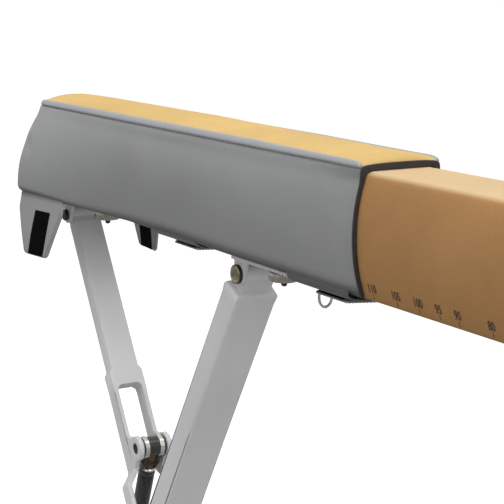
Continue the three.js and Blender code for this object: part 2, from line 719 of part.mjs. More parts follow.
// one band round the pad's right end, open below the beam
function padBinding() {
  const faces = panelFaces();
  const belowTop = ([, z]) => z < BEAM_TOP - 4;
  const top = BEAM_TOP + PAD_FIT;
  const outer = [...faces.outer.filter(belowTop), [PAD_HALF, top]];
  const inner = [...faces.inner.filter(belowTop), [panelInnerY(BEAM_TOP), top]].reverse();
  const outline = [
    ...outer,
    ...cushionCurve().reverse(),
    ...mirrored(outer),
    ...mirrored(inner),
    ...inner,
  ];
  return alongX(outline, PAD_X1 - BINDING, PAD_X1);
}
const rearSide = rearPanel();
add("pad_side_rear", rearSide, greyCloth);
add("pad_side_front", flip(rearSide, 1, -1), greyCloth);
add("pad_top", padTop(), yellow);
add("pad_binding", padBinding(), brown);

// ---- flaps: tapered tongues, hanging at the left and folded under elsewhere ------
const FLAP_BASE_HALF = 74;
const FLAP_TIP_HALF = 37.5;
const FLAP_LENGTH = 104.5;
const FLAP_THICKNESS = 6;
const FLAP_CLEARANCE = 6.5; // a hanging flap starts this far below its hinge line
const FLAP_OUTWARD = 0.168;
const FLAP_TWIST = 0.14; // the open flaps follow the flare, seen from above
const LEFT_FLAP_X = -2437.6;

function hangingFlap(side) {
  const outline = withMirror([
    [-FLAP_BASE_HALF, -FLAP_CLEARANCE],
    [-FLAP_BASE_HALF + 1, -FLAP_CLEARANCE - 20],
    [-FLAP_TIP_HALF - 1, -FLAP_LENGTH + 6],
    [-FLAP_TIP_HALF + 5, -FLAP_LENGTH],
  ]);
  const panelMiddle = panelInnerY(PAD_BOTTOM) + PAD_THICKNESS / 2;
  const [hingeY, hingeZ] = flared(panelMiddle, PAD_BOTTOM, LEFT_FLAP_X);
  const flap = extrude(outline, FLAP_THICKNESS);
  flap.rotateX(Math.PI / 2);
  flap.translate(0, FLAP_THICKNESS / 2, 0);
  flap.rotateX(side * FLAP_OUTWARD);
  flap.rotateZ(-side * FLAP_TWIST);
  flap.translate(LEFT_FLAP_X, side * hingeY, hingeZ);
  return placed(solid(flap));
}
add("flap_front_left", hangingFlap(-1), greyCloth);
add("flap_rear_left", hangingFlap(1), greyCloth);

// a (y, z) section trimmed to a tapered (x, y) plan
function foldedFlap(section, halfPlan, z0, z1) {
  return solid(alongX(section, -80, 80)).intersect(alongZ(withMirror(halfPlan), z0, z1));
}

// the upper flap rolls round the beam's corner and lies under it first
function foldedFrontFlap(tipZ) {
  const section = [
    [-60.5, 1096], [-60, 1092.6], [-56.5, 1089.2], [-43, 1085.4],
    [-20, 1082.4], [30, tipZ - 2], [30, tipZ + 2], [-20, 1086.4],
    [-42, 1089.2], [-49, 1091.2], [-55.6, 1094.4], [-56.5, 1096],
  ];
  const halfPlan = [
    [-FLAP_BASE_HALF, -63],
    [-FLAP_BASE_HALF, -54],
    [-FLAP_TIP_HALF, 24],
    [-FLAP_TIP_HALF + 5, 30],
  ];
  return foldedFlap(section, halfPlan, 1060, 1110);
}

// the lower flap turns down past the upper one's edge, then lies flat beneath it
function foldedRearFlap(drop) {
  const hingeY = 57.5;
  const hingeZ = 1088.2;
  const top = hingeZ - drop;
  const section = [
    [hingeY + 2, hingeZ - 0.5],
    [hingeY - 2, hingeZ - 0.5],
    [hingeY - 9, top],
    [-40, top],
    [-40, top - 4],
    [hingeY - 6, top - 4],
  ];
  const halfPlan = [
    [-FLAP_BASE_HALF, hingeY + 3],
    [-FLAP_TIP_HALF, -34],
    [-FLAP_TIP_HALF + 5, -40],
  ];
  return foldedFlap(section, halfPlan, hingeZ - 30, hingeZ + 10);
}

// name, middle x, height of the front flap's tip, drop of the rear flap
const FOLDED_FLAPS = [
  ["middle", -2005, 1084, 6.9],
  ["right", -1600, 1079.6, 11.3],
];
for (const [name, x, tipZ, drop] of FOLDED_FLAPS) {
  add(`flap_front_${name}`, placed(foldedFrontFlap(tipZ), x), greyCloth);
  add(`flap_rear_${name}`, placed(foldedRearFlap(drop), x), greyCloth);
}

export default model;
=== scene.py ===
import math

import bmesh
import bpy
import numpy as np
from mathutils import Matrix, Vector, noise


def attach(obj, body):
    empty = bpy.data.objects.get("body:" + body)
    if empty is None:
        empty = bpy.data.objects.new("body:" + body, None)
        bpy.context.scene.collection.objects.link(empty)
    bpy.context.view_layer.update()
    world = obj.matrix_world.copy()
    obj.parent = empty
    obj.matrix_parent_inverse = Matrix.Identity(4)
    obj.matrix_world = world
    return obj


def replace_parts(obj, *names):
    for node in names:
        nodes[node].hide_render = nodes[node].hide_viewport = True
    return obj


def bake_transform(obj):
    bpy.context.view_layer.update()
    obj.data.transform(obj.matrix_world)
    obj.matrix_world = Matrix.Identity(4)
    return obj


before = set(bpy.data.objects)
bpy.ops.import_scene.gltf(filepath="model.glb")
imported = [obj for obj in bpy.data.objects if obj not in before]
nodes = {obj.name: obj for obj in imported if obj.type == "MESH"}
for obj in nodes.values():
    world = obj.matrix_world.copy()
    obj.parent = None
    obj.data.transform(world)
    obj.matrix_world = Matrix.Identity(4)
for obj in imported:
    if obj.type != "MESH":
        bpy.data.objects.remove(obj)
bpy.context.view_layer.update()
scene = bpy.context.scene
MM = 0.001

# ---------------------------------------------------------------------------
# driving sizes, the same as the CAD
# ---------------------------------------------------------------------------
BEAM_BOTTOM, BEAM_TOP = 1090.0, 1250.0
MID_Z = (BEAM_BOTTOM + BEAM_TOP) / 2
BEAM_HALF_HEIGHT = (BEAM_TOP - BEAM_BOTTOM) / 2
BULGE, FLAT = 65.0, 50.0  # beam's half width at mid height, and at its top and bottom
SIDE_RADIUS = (BEAM_HALF_HEIGHT ** 2 + (BULGE - FLAT) ** 2) / (2 * (BULGE - FLAT))

PIVOT_Z, FOOT_Z, FIXED_X = 1060.0, 45.0, 2475.0
LEG = 1190.0  # between a leg's two pivots
SPREAD = math.sqrt(LEG ** 2 - (PIVOT_Z - FOOT_Z) ** 2)
LEAN = math.asin(SPREAD / LEG)
SLIDE_X = FIXED_X - SPREAD
BRACKET_END = 179.0  # slide bracket's end beyond its pivot
PLATE_TOP, PLATE_BOTTOM = 1086.7, 1081.2  # plate the clamp knobs hang from

PAD_X0, PAD_X1 = -2512.5, -1500.0
PAD_END = PAD_X1 - 3.4  # where the foam stops inside the binding
PAD_LOW = 1098.0
PAD_HALF = 62.0
PAD_THICK = 9.0
SEAM_Z = 1255.5
PANEL_DEPTH = 157.0
FLARE = 50.0  # how far the open end stands out
FLAP_X = {"left": -2437.6, "middle": -2005.0, "right": -1600.0}

LEFT_RIGHT = {"left": -1.0, "right": 1.0}
FRONT_REAR = {"front": -1.0, "rear": 1.0}


def smooth(t):
    t = min(max(t, 0.0), 1.0)
    return t * t * (3 - 2 * t)


def bump(x, centre, half):
    """1 at centre, falling smoothly to 0 at centre +- half."""
    return smooth(1 - abs(x - centre) / half)


def quarter(t):
    """Quarter circle: 0 at t = 0 rising to 1 at t = 1."""
    return math.sqrt(max(0.0, 1 - (1 - t) ** 2))


def wobble(x, y, z, scale):
    return noise.noise(Vector((x / scale, y / scale, z / scale)))


def table(x, rows):
    """Smooth interpolation through rows of (x, value), sorted by x."""
    if x <= rows[0][0]:
        return rows[0][1]
    for (a, value_a), (b, value_b) in zip(rows, rows[1:]):
        if x <= b:
            t = (x - a) / (b - a)
            return value_a + (value_b - value_a) * (0.5 * t + 0.5 * smooth(t))
    return rows[-1][1]


def side_y(z):
    """Half width of the beam at height z."""
    return BULGE - SIDE_RADIUS + math.sqrt(SIDE_RADIUS ** 2 - (z - MID_Z) ** 2)


def inner_y(z):
    """Half width of the pad's inside at height z."""
    return side_y(min(max(z, BEAM_BOTTOM), BEAM_TOP)) + 0.8


def flared(y, z, x):
    """Swings a panel point outwards about the top seam, growing towards the open end."""
    angle = (FLARE / 155) * min(max((-2160 - x) / 352, 0.0), 1.0) ** 1.25
    depth = SEAM_Z - z
    return (
        PAD_HALF + (y - PAD_HALF) * math.cos(angle) + depth * math.sin(angle),
        SEAM_Z - depth * math.cos(angle) + (y - PAD_HALF) * math.sin(angle),
    )


def pad_outer(z, thick):
    """Half width of the pad's outside at height z for a panel of this thickness."""
    if z <= 1238:
        return inner_y(z) + thick
    start = inner_y(1238) + thick
    end = 61.2 - (PAD_THICK - thick) * 0.35
    return start + (end - start) * min(1.2, (z - 1238) / 17.5) ** 1.7


# ---------------------------------------------------------------------------
# nodes and materials
# ---------------------------------------------------------------------------
def add_node(tree, kind, inputs=None, **settings):
    """Adds a node; inputs maps names or indices to sockets to link or values to set."""
    node = tree.nodes.new(kind)
    for key, value in settings.items():
        setattr(node, key, value)
    for key, value in (inputs or {}).items():
        feed(tree, node.inputs[key], value)
    return node


def feed(tree, socket, value):
    if isinstance(value, bpy.types.NodeSocket):
        tree.links.new(value, socket)
    else:
        socket.default_value = value


def math_node(tree, operation, a, b):
    return add_node(tree, "ShaderNodeMath", {0: a, 1: b}, operation=operation).outputs[0]


def linear(rgb):
    """Linear colour from 0-255 sRGB."""
    return tuple(
        (v / 12.92 if v <= 0.04045 else ((v + 0.055) / 1.055) ** 2.4)
        for v in (channel / 255.0 for channel in rgb)
    )


def shade(colour, factor):
    return tuple(min(1.0, v * factor) for v in colour)


class Surface:
    """A principled material on object coordinates, in metres."""

    def __init__(self, name):
        self.material = bpy.data.materials.new(name)
        self.material.use_nodes = True
        self.tree = self.material.node_tree
        self.shader = self.tree.nodes["Principled BSDF"]
        self.position = self.node("ShaderNodeTexCoord")["Object"]
        self.normal = None

    def node(self, kind, inputs=None, **settings):
        return add_node(self.tree, kind, inputs, **settings).outputs

    def vector(self, stretch):
        if stretch is None:
            return self.position
        inputs = {"Vector": self.position, "Scale": stretch}
        return self.node("ShaderNodeMapping", inputs)["Vector"]

    def ramp(self, value, span, to=(0.0, 1.0)):
        """Maps the span of values onto another, clamped."""
        return self.node("ShaderNodeMapRange", {
            "From Min": span[0], "From Max": span[1],
            "To Min": to[0], "To Max": to[1], "Value": value,
        }, clamp=True)["Result"]

    def noise(self, scale, detail=3.0, rough=0.5, stretch=None, span=None):
        value = self.node("ShaderNodeTexNoise", {
            "Scale": scale, "Detail": detail, "Roughness": rough,
            "Vector": self.vector(stretch),
        })["Fac"]
        return self.ramp(value, span) if span else value

    def voronoi(self, scale, feature="F1"):
        inputs = {"Scale": scale, "Vector": self.position}
        return self.node("ShaderNodeTexVoronoi", inputs, feature=feature)["Distance"]

    def wave(self, scale, axis, stretch=None):
        return self.node("ShaderNodeTexWave", {
            "Scale": scale, "Distortion": 0.4, "Detail": 1.0, "Vector": self.vector(stretch),
        }, bands_direction=axis)["Fac"]

    def multiply(self, a, b):
        return math_node(self.tree, "MULTIPLY", a, b)

    def add(self, base, extra, amount):
        return math_node(self.tree, "ADD", base, self.multiply(extra, amount))

    def mix(self, mask, under, over, amount=None):
        """Lays one colour over another through a mask, at full or partial amount."""
        inputs = {0: mask if amount is None else self.multiply(mask, amount)}
        for index, colour in ((6, under), (7, over)):
            inputs[index] = (*colour, 1) if isinstance(colour, tuple) else colour
        return self.node("ShaderNodeMix", inputs, data_type="RGBA")[2]

    def relief(self, height, depth, strength):
        """Adds a bump layer, depth in metres, on top of the layers so far."""
        inputs = {"Distance": depth, "Strength": strength, "Height": height}
        if self.normal:
            inputs["Normal"] = self.normal
        self.normal = self.node("ShaderNodeBump", inputs)["Normal"]
        self.set(Normal=self.normal)

    def set(self, **inputs):
        for key, value in inputs.items():
            feed(self.tree, self.shader.inputs[key.replace("_", " ")], value)

    def facing_up(self):
        normal = self.node("ShaderNodeNewGeometry")["Normal"]
        return self.node("ShaderNodeSeparateXYZ", {"Vector": normal})[2]

    def edges(self):
        pointiness = self.node("ShaderNodeNewGeometry")["Pointiness"]
        return self.ramp(pointiness, span=(0.51, 0.60))


def suede(name, base, warm, nap, woven):
    """Sueded cover: cloudy pressed nap and short fibres; woven adds a faint backing weave and a
    painted highlight on faces turned up.
    """
    m = Surface(name)
    tone = linear(base)
    warm_tone = linear(warm)
    clouds = m.noise(scale=5.5, detail=5, rough=0.62, span=(0.3, 0.72))
    patches = m.noise(scale=38, detail=4, rough=0.6, span=(0.32, 0.7))
    fibres = m.noise(scale=1500, detail=2, rough=0.6, stretch=(0.5, 1, 1))
    flecks = m.noise(scale=420, detail=3, rough=0.7, span=(0.35, 0.68))
    colour = m.mix(clouds, shade(tone, 0.90), warm_tone)
    colour = m.mix(patches, colour, shade(tone, 1.16), amount=0.22)
    colour = m.mix(flecks, colour, shade(tone, 0.72), amount=0.20)
    if woven:
        threads = m.multiply(
            m.wave(scale=36, axis="X", stretch=(1, 1, 1)),
            m.wave(scale=42, axis="Z", stretch=(1, 1, 1)),
        )
        thread_mask = m.ramp(threads, span=(0.1, 0.9))
        colour = m.mix(thread_mask, colour, shade(tone, 0.7), amount=0.07)
        # painted highlight: faces turned up are paler and less saturated, standing in for the light
        # from above
        up = m.ramp(m.facing_up(), span=(0.55, 0.97))
        pale = m.mix(clouds, linear((190, 168, 131)), linear((197, 175, 138)))
        colour = m.mix(up, colour, pale, amount=0.85)
        m.relief(patches, depth=0.0006, strength=0.25)
        m.relief(threads, depth=0.0002, strength=0.25)
        m.relief(fibres, depth=0.0004, strength=0.55)
    else:
        m.relief(patches, depth=0.0008, strength=0.25)
        m.relief(fibres, depth=0.0004, strength=0.5)
    m.set(
        Base_Color=colour, Roughness=m.ramp(flecks, span=(0, 1), to=(0.84, 0.97)),
        Sheen_Weight=nap, Sheen_Roughness=0.45, Sheen_Tint=(*shade(warm_tone, 1.3), 1),
        Specular_IOR_Level=0.18,
    )
    return m.material


def vinyl(name, base, gloss):
    """Coated fabric: fine leather grain, soft sheen, slight scuffs, and painted shade where rolled
    under.
    """
    m = Surface(name)
    tone = linear(base)
    grain = m.voronoi(scale=620, feature="DISTANCE_TO_EDGE")
    pores = m.noise(scale=1300, detail=3, rough=0.6)
    clouds = m.noise(scale=4.5, detail=4, rough=0.55, span=(0.32, 0.7))
    scuffs = m.noise(scale=26, detail=6, rough=0.72, stretch=(0.35, 1, 1), span=(0.52, 0.72))
    colour = m.mix(clouds, shade(tone, 0.94), shade(tone, 1.06))
    colour = m.mix(scuffs, colour, shade(tone, 1.35), amount=0.10)
    # painted shade darkening the grain's creases
    crease_shade = m.ramp(grain, span=(0.0, 0.16), to=(1, 0))
    colour = m.mix(crease_shade, colour, shade(tone, 0.7), amount=0.16)
    # painted shade from a mesh attribute, nearly black on rolled-under edges and flap folds
    under = m.node("ShaderNodeAttribute", attribute_name="painted_under_shade")["Fac"]
    colour = m.mix(under, colour, shade(tone, 0.04))
    sheen = m.ramp(clouds, span=(0, 1), to=(gloss - 0.05, gloss + 0.05))
    m.relief(m.noise(scale=16), depth=0.004, strength=0.10)
    m.relief(m.ramp(grain, span=(0.0, 0.2)), depth=0.00025, strength=0.30)
    m.relief(pores, depth=0.00015, strength=0.25)
    rough = m.add(sheen, scuffs, amount=0.12)
    m.set(Base_Color=colour, Roughness=rough, Specular_IOR_Level=0.42)
    return m.material


def webbing(name, base):
    """Woven tape or thread with a diagonal weave."""
    m = Surface(name)
    tone = linear(base)
    weave = m.multiply(m.wave(scale=260, axis="DIAGONAL"), m.wave(scale=240, axis="Z"))
    patches = m.noise(scale=90, detail=4, span=(0.3, 0.7))
    colour = m.mix(patches, shade(tone, 0.75), shade(tone, 1.35))
    colour = m.mix(weave, colour, shade(tone, 1.9), amount=0.6)
    m.relief(weave, depth=0.0006, strength=0.6)
    m.relief(m.noise(scale=1400, detail=2), depth=0.0002, strength=0.3)
    m.set(Base_Color=colour, Roughness=0.86, Sheen_Weight=0.15)
    return m.material


def hooks(name, base):
    """Matt strip covered in tiny hooks."""
    m = Surface(name)
    tone = linear(base)
    loops = m.voronoi(scale=900)
    colour = m.mix(m.ramp(loops, span=(0.1, 0.7)), shade(tone, 2.0), shade(tone, 0.5))
    m.relief(loops, depth=0.0009, strength=0.9)
    m.relief(m.noise(scale=2600, detail=2), depth=0.0003, strength=0.5)
    m.set(Base_Color=colour, Roughness=0.95, Specular_IOR_Level=0.04)
    return m.material


def paint(name, base):
    """Powder coat: orange-peel skin, a painted highlight along the edges, which are also chipped."""
    m = Surface(name)
    tone = linear(base)
    clouds = m.noise(scale=7, detail=4, rough=0.55, span=(0.3, 0.7))
    chips = m.noise(scale=160, detail=5, rough=0.75, span=(0.66, 0.74))
    edge = m.edges()
    colour = m.mix(clouds, shade(tone, 0.96), shade(tone, 1.04))
    # painted highlight: lighter along the edges, where the light catches them
    colour = m.mix(edge, colour, shade(tone, 1.5), amount=0.38)
    colour = m.mix(m.multiply(chips, edge), colour, linear((120, 116, 108)), amount=0.6)
    sheen = m.ramp(clouds, span=(0, 1), to=(0.40, 0.50))
    m.relief(m.noise(scale=520, detail=2), depth=0.00012, strength=0.28)
    m.relief(m.noise(scale=34, detail=2), depth=0.0006, strength=0.06)
    rough = m.add(sheen, chips, amount=0.08)
    m.set(Base_Color=colour, Roughness=rough, Specular_IOR_Level=0.45)
    return m.material


def metal(name, base, rough, stain=None, brush=(1, 1, 1), worn=0.25, metallic=1.0):
    """Bare or plated metal with stains; brush stretches its fine streaks."""
    m = Surface(name)
    tone = linear(base)
    stain_tone = linear(stain) if stain else shade(tone, 0.82)
    streaks = m.noise(scale=900, detail=3, rough=0.6, stretch=brush)
    stains = m.noise(scale=75, detail=5, rough=0.65, span=(0.38, 0.66))
    sheen = m.ramp(streaks, span=(0.3, 0.7), to=(rough - 0.07, rough + 0.09))
    m.relief(streaks, depth=0.00006, strength=0.5)
    m.relief(m.noise(scale=260), depth=0.0002, strength=0.08)
    m.set(
        Base_Color=m.mix(stains, tone, stain_tone),
        Roughness=m.add(sheen, stains, amount=worn * 0.3), Metallic=metallic,
    )
    return m.material


def lacquer(name, base, rough, dust_tint):
    """Glossy coated lacquer with dust."""
    m = Surface(name)
    dust = m.noise(scale=110, detail=5, rough=0.7, span=(0.5, 0.75))
    m.relief(m.noise(scale=300, detail=2), depth=0.0001, strength=0.15)
    m.set(
        Base_Color=m.mix(dust, linear(base), linear(dust_tint), amount=0.35),
        Roughness=m.add(rough, dust, amount=0.2), Coat_Weight=0.35, Coat_Roughness=0.18,
    )
    return m.material


def rubber(name, base):
    """Dull rubber, greyer along its edges."""
    m = Surface(name)
    tone = linear(base)
    patches = m.noise(scale=45, detail=5, rough=0.65, span=(0.35, 0.7))
    colour = m.mix(patches, shade(tone, 0.85), shade(tone, 1.3))
    colour = m.mix(m.edges(), colour, shade(tone, 2.6), amount=0.25)
    m.relief(m.noise(scale=900), depth=0.0002, strength=0.35)
    m.relief(m.noise(scale=60), depth=0.0006, strength=0.1)
    m.set(Base_Color=colour, Roughness=m.ramp(patches, span=(0, 1), to=(0.72, 0.9)))
    return m.material


def ink(name, base):
    """Faded printing."""
    m = Surface(name)
    tone = linear(base)
    fade = m.noise(scale=700, detail=3, rough=0.7, span=(0.35, 0.7))
    m.relief(m.noise(scale=1500, detail=2), depth=0.0002, strength=0.4)
    m.set(Base_Color=m.mix(fade, tone, shade(tone, 2.1)), Roughness=0.88)
    return m.material


MATERIALS = {
    "suede": suede("tan_suede", base=(161, 120, 76), warm=(170, 129, 83), nap=0.22, woven=True),
    "yellow": suede(
        "cream_suede", base=(191, 160, 102), warm=(198, 168, 110), nap=0.10, woven=False),
    "vinyl": vinyl("grey_vinyl", base=(135, 136, 136), gloss=0.40),
    "piping": vinyl("grey_piping", base=(149, 150, 154), gloss=0.36),
    "binding": webbing("dark_binding", base=(34, 27, 24)),
    "hooks": hooks("hook_strip", base=(9, 9, 9)),
    "thread": webbing("grey_thread", base=(120, 121, 122)),
    "paint": paint("light_grey_paint", base=(199, 198, 199)),
    "zinc": metal("zinc_steel", base=(176, 173, 166), rough=0.34, stain=(150, 146, 134)),
    "yellow_zinc": metal(
        "yellow_zinc", base=(176, 164, 128), rough=0.30, stain=(120, 116, 104), worn=0.5),
    "bright": metal(
        "bright_zinc", base=(196, 194, 190), rough=0.38, stain=(176, 173, 166), metallic=0.7),
    "chrome": metal("bright_chrome", base=(226, 224, 220), rough=0.16, stain=(196, 190, 180)),
    "bronze": metal("bronze_brown", base=(112, 96, 78), rough=0.40, stain=(84, 70, 55)),
    "dark": metal("black_steel", base=(74, 74, 76), rough=0.42, stain=(54, 54, 56)),
    "lacquer": lacquer("black_lacquer", base=(30, 31, 27), rough=0.24, dust_tint=(96, 92, 74)),
    "alu": metal("mill_aluminium", base=(196, 198, 200), rough=0.33, brush=(0.04, 1, 1)),
    "rubber": rubber("black_rubber", base=(38, 38, 40)),
    "ink": ink("brown_ink", base=(62, 44, 34)),
}


# ---------------------------------------------------------------------------
# finishing modifiers
# ---------------------------------------------------------------------------
def node_group(name, build):
    group = bpy.data.node_groups.new(name, "GeometryNodeTree")
    for direction in ("INPUT", "OUTPUT"):
        group.interface.new_socket(
            "Geometry", in_out=direction, socket_type="NodeSocketGeometry")
    source = group.nodes.new("NodeGroupInput")
    sink = group.nodes.new("NodeGroupOutput")
    group.links.new(build(group, source.outputs[0]), sink.inputs[0])
    return group


def edge_angle(tree):
    return add_node(tree, "GeometryNodeInputMeshEdgeAngle").outputs["Unsigned Angle"]


def edge_weights(tree, mesh):
    """Bevel weights: edges over 55 mm get the full radius, shorter ones a fine one."""
    ends = add_node(tree, "GeometryNodeInputMeshEdgeVertices").outputs
    positions = {0: ends["Position 1"], 1: ends["Position 2"]}
    span = add_node(tree, "ShaderNodeVectorMath", positions, operation="DISTANCE")
    sharp = math_node(tree, "GREATER_THAN", edge_angle(tree), math.radians(33))
    long_edge = math_node(tree, "GREATER_THAN", span.outputs["Value"], 0.055)
    radius = math_node(tree, "ADD", 0.28, math_node(tree, "MULTIPLY", long_edge, 0.72))
    return add_node(tree, "GeometryNodeStoreNamedAttribute", {
        "Geometry": mesh, "Name": "bevel_weight_edge",
        "Value": math_node(tree, "MULTIPLY", sharp, radius),
    }, data_type="FLOAT", domain="EDGE").outputs["Geometry"]


def smooth_by_angle(tree, mesh):
    """Drops custom normals and smooths all edges under 40 degrees."""
    cleared = add_node(
        tree, "GeometryNodeRemoveAttribute", {"Name": "custom_normal", "Geometry": mesh})
    faces = add_node(tree, "GeometryNodeSetShadeSmooth", {
        "Shade Smooth": True, "Geometry": cleared.outputs["Geometry"],
    }, domain="FACE")
    shallow = add_node(tree, "FunctionNodeCompare", {
        "A": edge_angle(tree), "B": math.radians(40),
    }, data_type="FLOAT", operation="LESS_THAN")
    return add_node(tree, "GeometryNodeSetShadeSmooth", {
        "Geometry": faces.outputs["Geometry"], "Shade Smooth": shallow.outputs["Result"],
    }, domain="EDGE").outputs["Geometry"]


EDGE_WEIGHTS = node_group("edge_weights", edge_weights)
SMOOTH_BY_ANGLE = node_group("smooth_by_angle", smooth_by_angle)


def smooth_shade(o):
    o.modifiers.new("shade", "NODES").node_group = SMOOTH_BY_ANGLE


def subdivide(o):
    modifier = o.modifiers.new("fine", "SUBSURF")
    modifier.levels = 1
    modifier.render_levels = 1


def round_edges(o, width, segments=3):
    modifier = o.modifiers.new("round", "BEVEL")
    modifier.limit_method = "ANGLE"
    modifier.angle_limit = math.radians(35)
    modifier.width = width * MM
    modifier.segments = segments
    modifier.use_clamp_overlap = True
    smooth_shade(o)


# ---------------------------------------------------------------------------
# CAD pieces that stay
# ---------------------------------------------------------------------------
def finish_cad(o, material, width=0.0, segments=3):
    """Sets the material, welds, rounds the edges if a width is given, and smooths."""
    o.data.materials.clear()
    o.data.materials.append(MATERIALS[material])
    o.modifiers.new("weld", "WELD").merge_threshold = 2e-5
    if width:
        o.modifiers.new("weights", "NODES").node_group = EDGE_WEIGHTS
        bevel = o.modifiers.new("round", "BEVEL")
        bevel.limit_method = "WEIGHT"
        bevel.width = width * MM
        bevel.segments = segments
        bevel.use_clamp_overlap = False
        bevel.loop_slide = False
        bevel.miter_outer = "MITER_SHARP"
    smooth_shade(o)


UNROUNDED = {"beam_cover": "suede", "beam_core": "alu"}
# start of the name, material, bevel width, bevel segments; the first match counts
ROUNDED = (
    ("beam_end", "suede", 1.6, 3),
    ("rail", "alu", 0.7, 3),
    ("bracket", "paint", 1.4, 3),
    ("fork_leg", "paint", 3.2, 4),
    ("cross_leg", "paint", 4.0, 4),
    ("foot_bar", "paint", 1.0, 3),
    ("foot_", "rubber", 3.0, 3),
)
for node_name, piece in nodes.items():
    if node_name in UNROUNDED:
        finish_cad(piece, UNROUNDED[node_name])
        continue
    for prefix, material, width, segments in ROUNDED:
        if node_name.startswith(prefix):
            finish_cad(piece, material, width, segments)
            break


# ---------------------------------------------------------------------------
# mesh helpers, objects at the origin
# ---------------------------------------------------------------------------
def make(name, verts, faces, material, body=None, flat=False):
    mesh = bpy.data.meshes.new(name)
    mesh.from_pydata([tuple(c * MM for c in v) for v in verts], [], [list(f) for f in faces])
    mesh.update()
    bm = bmesh.new()
    bm.from_mesh(mesh)
    bmesh.ops.recalc_face_normals(bm, faces=bm.faces)
    bm.to_mesh(mesh)
    bm.free()
    mesh.materials.append(MATERIALS[material])
    if not flat:
        mesh.polygons.foreach_set("use_smooth", [True] * len(mesh.polygons))
    o = bpy.data.objects.new(name, mesh)
    scene.collection.objects.link(o)
    if body:
        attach(o, body)
    return o


def bridge(a, b):
    """Quads between two closed rings of vertex indices."""
    count = len(a)
    return [(a[i], b[i], b[(i + 1) % count], a[(i + 1) % count]) for i in range(count)]


def turned(name, profile, sides, place, material, body, smoothed=True, ribs=None):
    """Solid of revolution about local z from (radius, z) points, which end on the axis or
    close on themselves. ribs maps profile points to the depth of their ribs, 4 sides each."""
    verts, rings = [], []
    for k, (radius, z) in enumerate(profile):
        if radius <= 1e-6:
            rings.append([len(verts)])
            verts.append((0.0, 0.0, z))
            continue
        rings.append(list(range(len(verts), len(verts) + sides)))
        for i in range(sides):
            angle = 2 * math.pi * i / sides
            r = radius
            if ribs and k in ribs:
                r -= ribs[k] * (0.5 - 0.5 * math.cos(angle * sides / 4))
            verts.append((r * math.cos(angle), r * math.sin(angle), z))
    pairs = list(zip(rings, rings[1:]))
    if len(rings[0]) > 1 and len(rings[-1]) > 1:
        pairs.append((rings[-1], rings[0]))
    faces = []
    for a, b in pairs:
        if len(a) == 1:
            faces += [(a[0], b[i], b[(i + 1) % sides]) for i in range(sides)]
        elif len(b) == 1:
            faces += [(a[i], b[0], a[(i + 1) % sides]) for i in range(sides)]
        else:
            faces += bridge(a, b)
    o = make(name, [tuple(place @ Vector(v)) for v in verts], faces, material, body)
    if smoothed:
        smooth_shade(o)
    return o


def facing_front(x, z):
    """Placement that turns local z to -y, at (x, z)."""
    return Matrix(((1, 0, 0, x), (0, 0, -1, 0), (0, 1, 0, z), (0, 0, 0, 1)))


def swept(sections):
    """Lofts (x, closed list of (y, z)) sections; the ends are closed with quads across."""
    verts, faces, rings = [], [], []
    for x, points in sections:
        rings.append([len(verts) + i for i in range(len(points))])
        verts += [(x, y, z) for y, z in points]
    for a, b in zip(rings, rings[1:]):
        faces += bridge(a, b)
    n = len(rings[0])
    for ring in (rings[0], rings[-1]):
        for i in range(n // 2 - 1):
            faces.append((ring[i], ring[i + 1], ring[n - 2 - i], ring[n - 1 - i]))
    return verts, faces, rings


def stations(start, end, count, near_start=(), near_end=()):
    """Even stations along x, with extra ones close to the ends."""
    xs = [start + (end - start) * i / count for i in range(count + 1)]
    xs += [start + d for d in near_start]
    xs += [end - d for d in near_end]
    return sorted(set(xs))


CLOTH_FRAMES = 20
CLOTH_STIFFNESS = 18.0


def inflate(o, pinned, cap, pressure):
    """Swells the closed mesh with the cloth solver, moving no point over cap millimetres."""
    count = len(o.data.vertices)
    rest = np.zeros(count * 3, np.float32)
    o.data.vertices.foreach_get("co", rest)
    rest = rest.reshape(-1, 3).astype(float)
    group = o.vertex_groups.new(name="pin")
    group.add([int(i) for i in pinned], 1.0, "REPLACE")
    cloth = o.modifiers.new("swell", "CLOTH")
    settings = cloth.settings
    settings.quality = 6
    settings.mass = 0.25
    settings.tension_stiffness = CLOTH_STIFFNESS
    settings.compression_stiffness = CLOTH_STIFFNESS
    settings.shear_stiffness = CLOTH_STIFFNESS * 0.5
    settings.bending_stiffness = 1.5
    settings.vertex_group_mass = "pin"
    settings.pin_stiffness = 1.0
    settings.use_pressure = True
    settings.uniform_pressure_force = pressure
    settings.effector_weights.gravity = 0
    cloth.collision_settings.use_collision = False
    cloth.collision_settings.use_self_collision = False
    cloth.point_cache.frame_start = 1
    cloth.point_cache.frame_end = CLOTH_FRAMES
    scene.frame_start = 1
    scene.frame_end = CLOTH_FRAMES
    for f in range(1, CLOTH_FRAMES + 1):
        scene.frame_set(f)
    evaluated = o.evaluated_get(bpy.context.evaluated_depsgraph_get())
    swollen = np.zeros(count * 3, np.float32)
    evaluated.to_mesh().vertices.foreach_get("co", swollen)
    swollen = swollen.reshape(-1, 3).astype(float)
    evaluated.to_mesh_clear()
    o.modifiers.remove(cloth)
    o.vertex_groups.remove(group)
    move = swollen - rest
    size = np.linalg.norm(move, axis=1)
    limit = cap * MM
    scale = np.where(size > 1e-9, limit * np.tanh(size / limit) / np.maximum(size, 1e-9), 0)
    final = (rest + move * scale[:, None]).astype(np.float32)
    o.data.vertices.foreach_set("co", final.ravel())
    o.data.update()
    scene.frame_set(1)


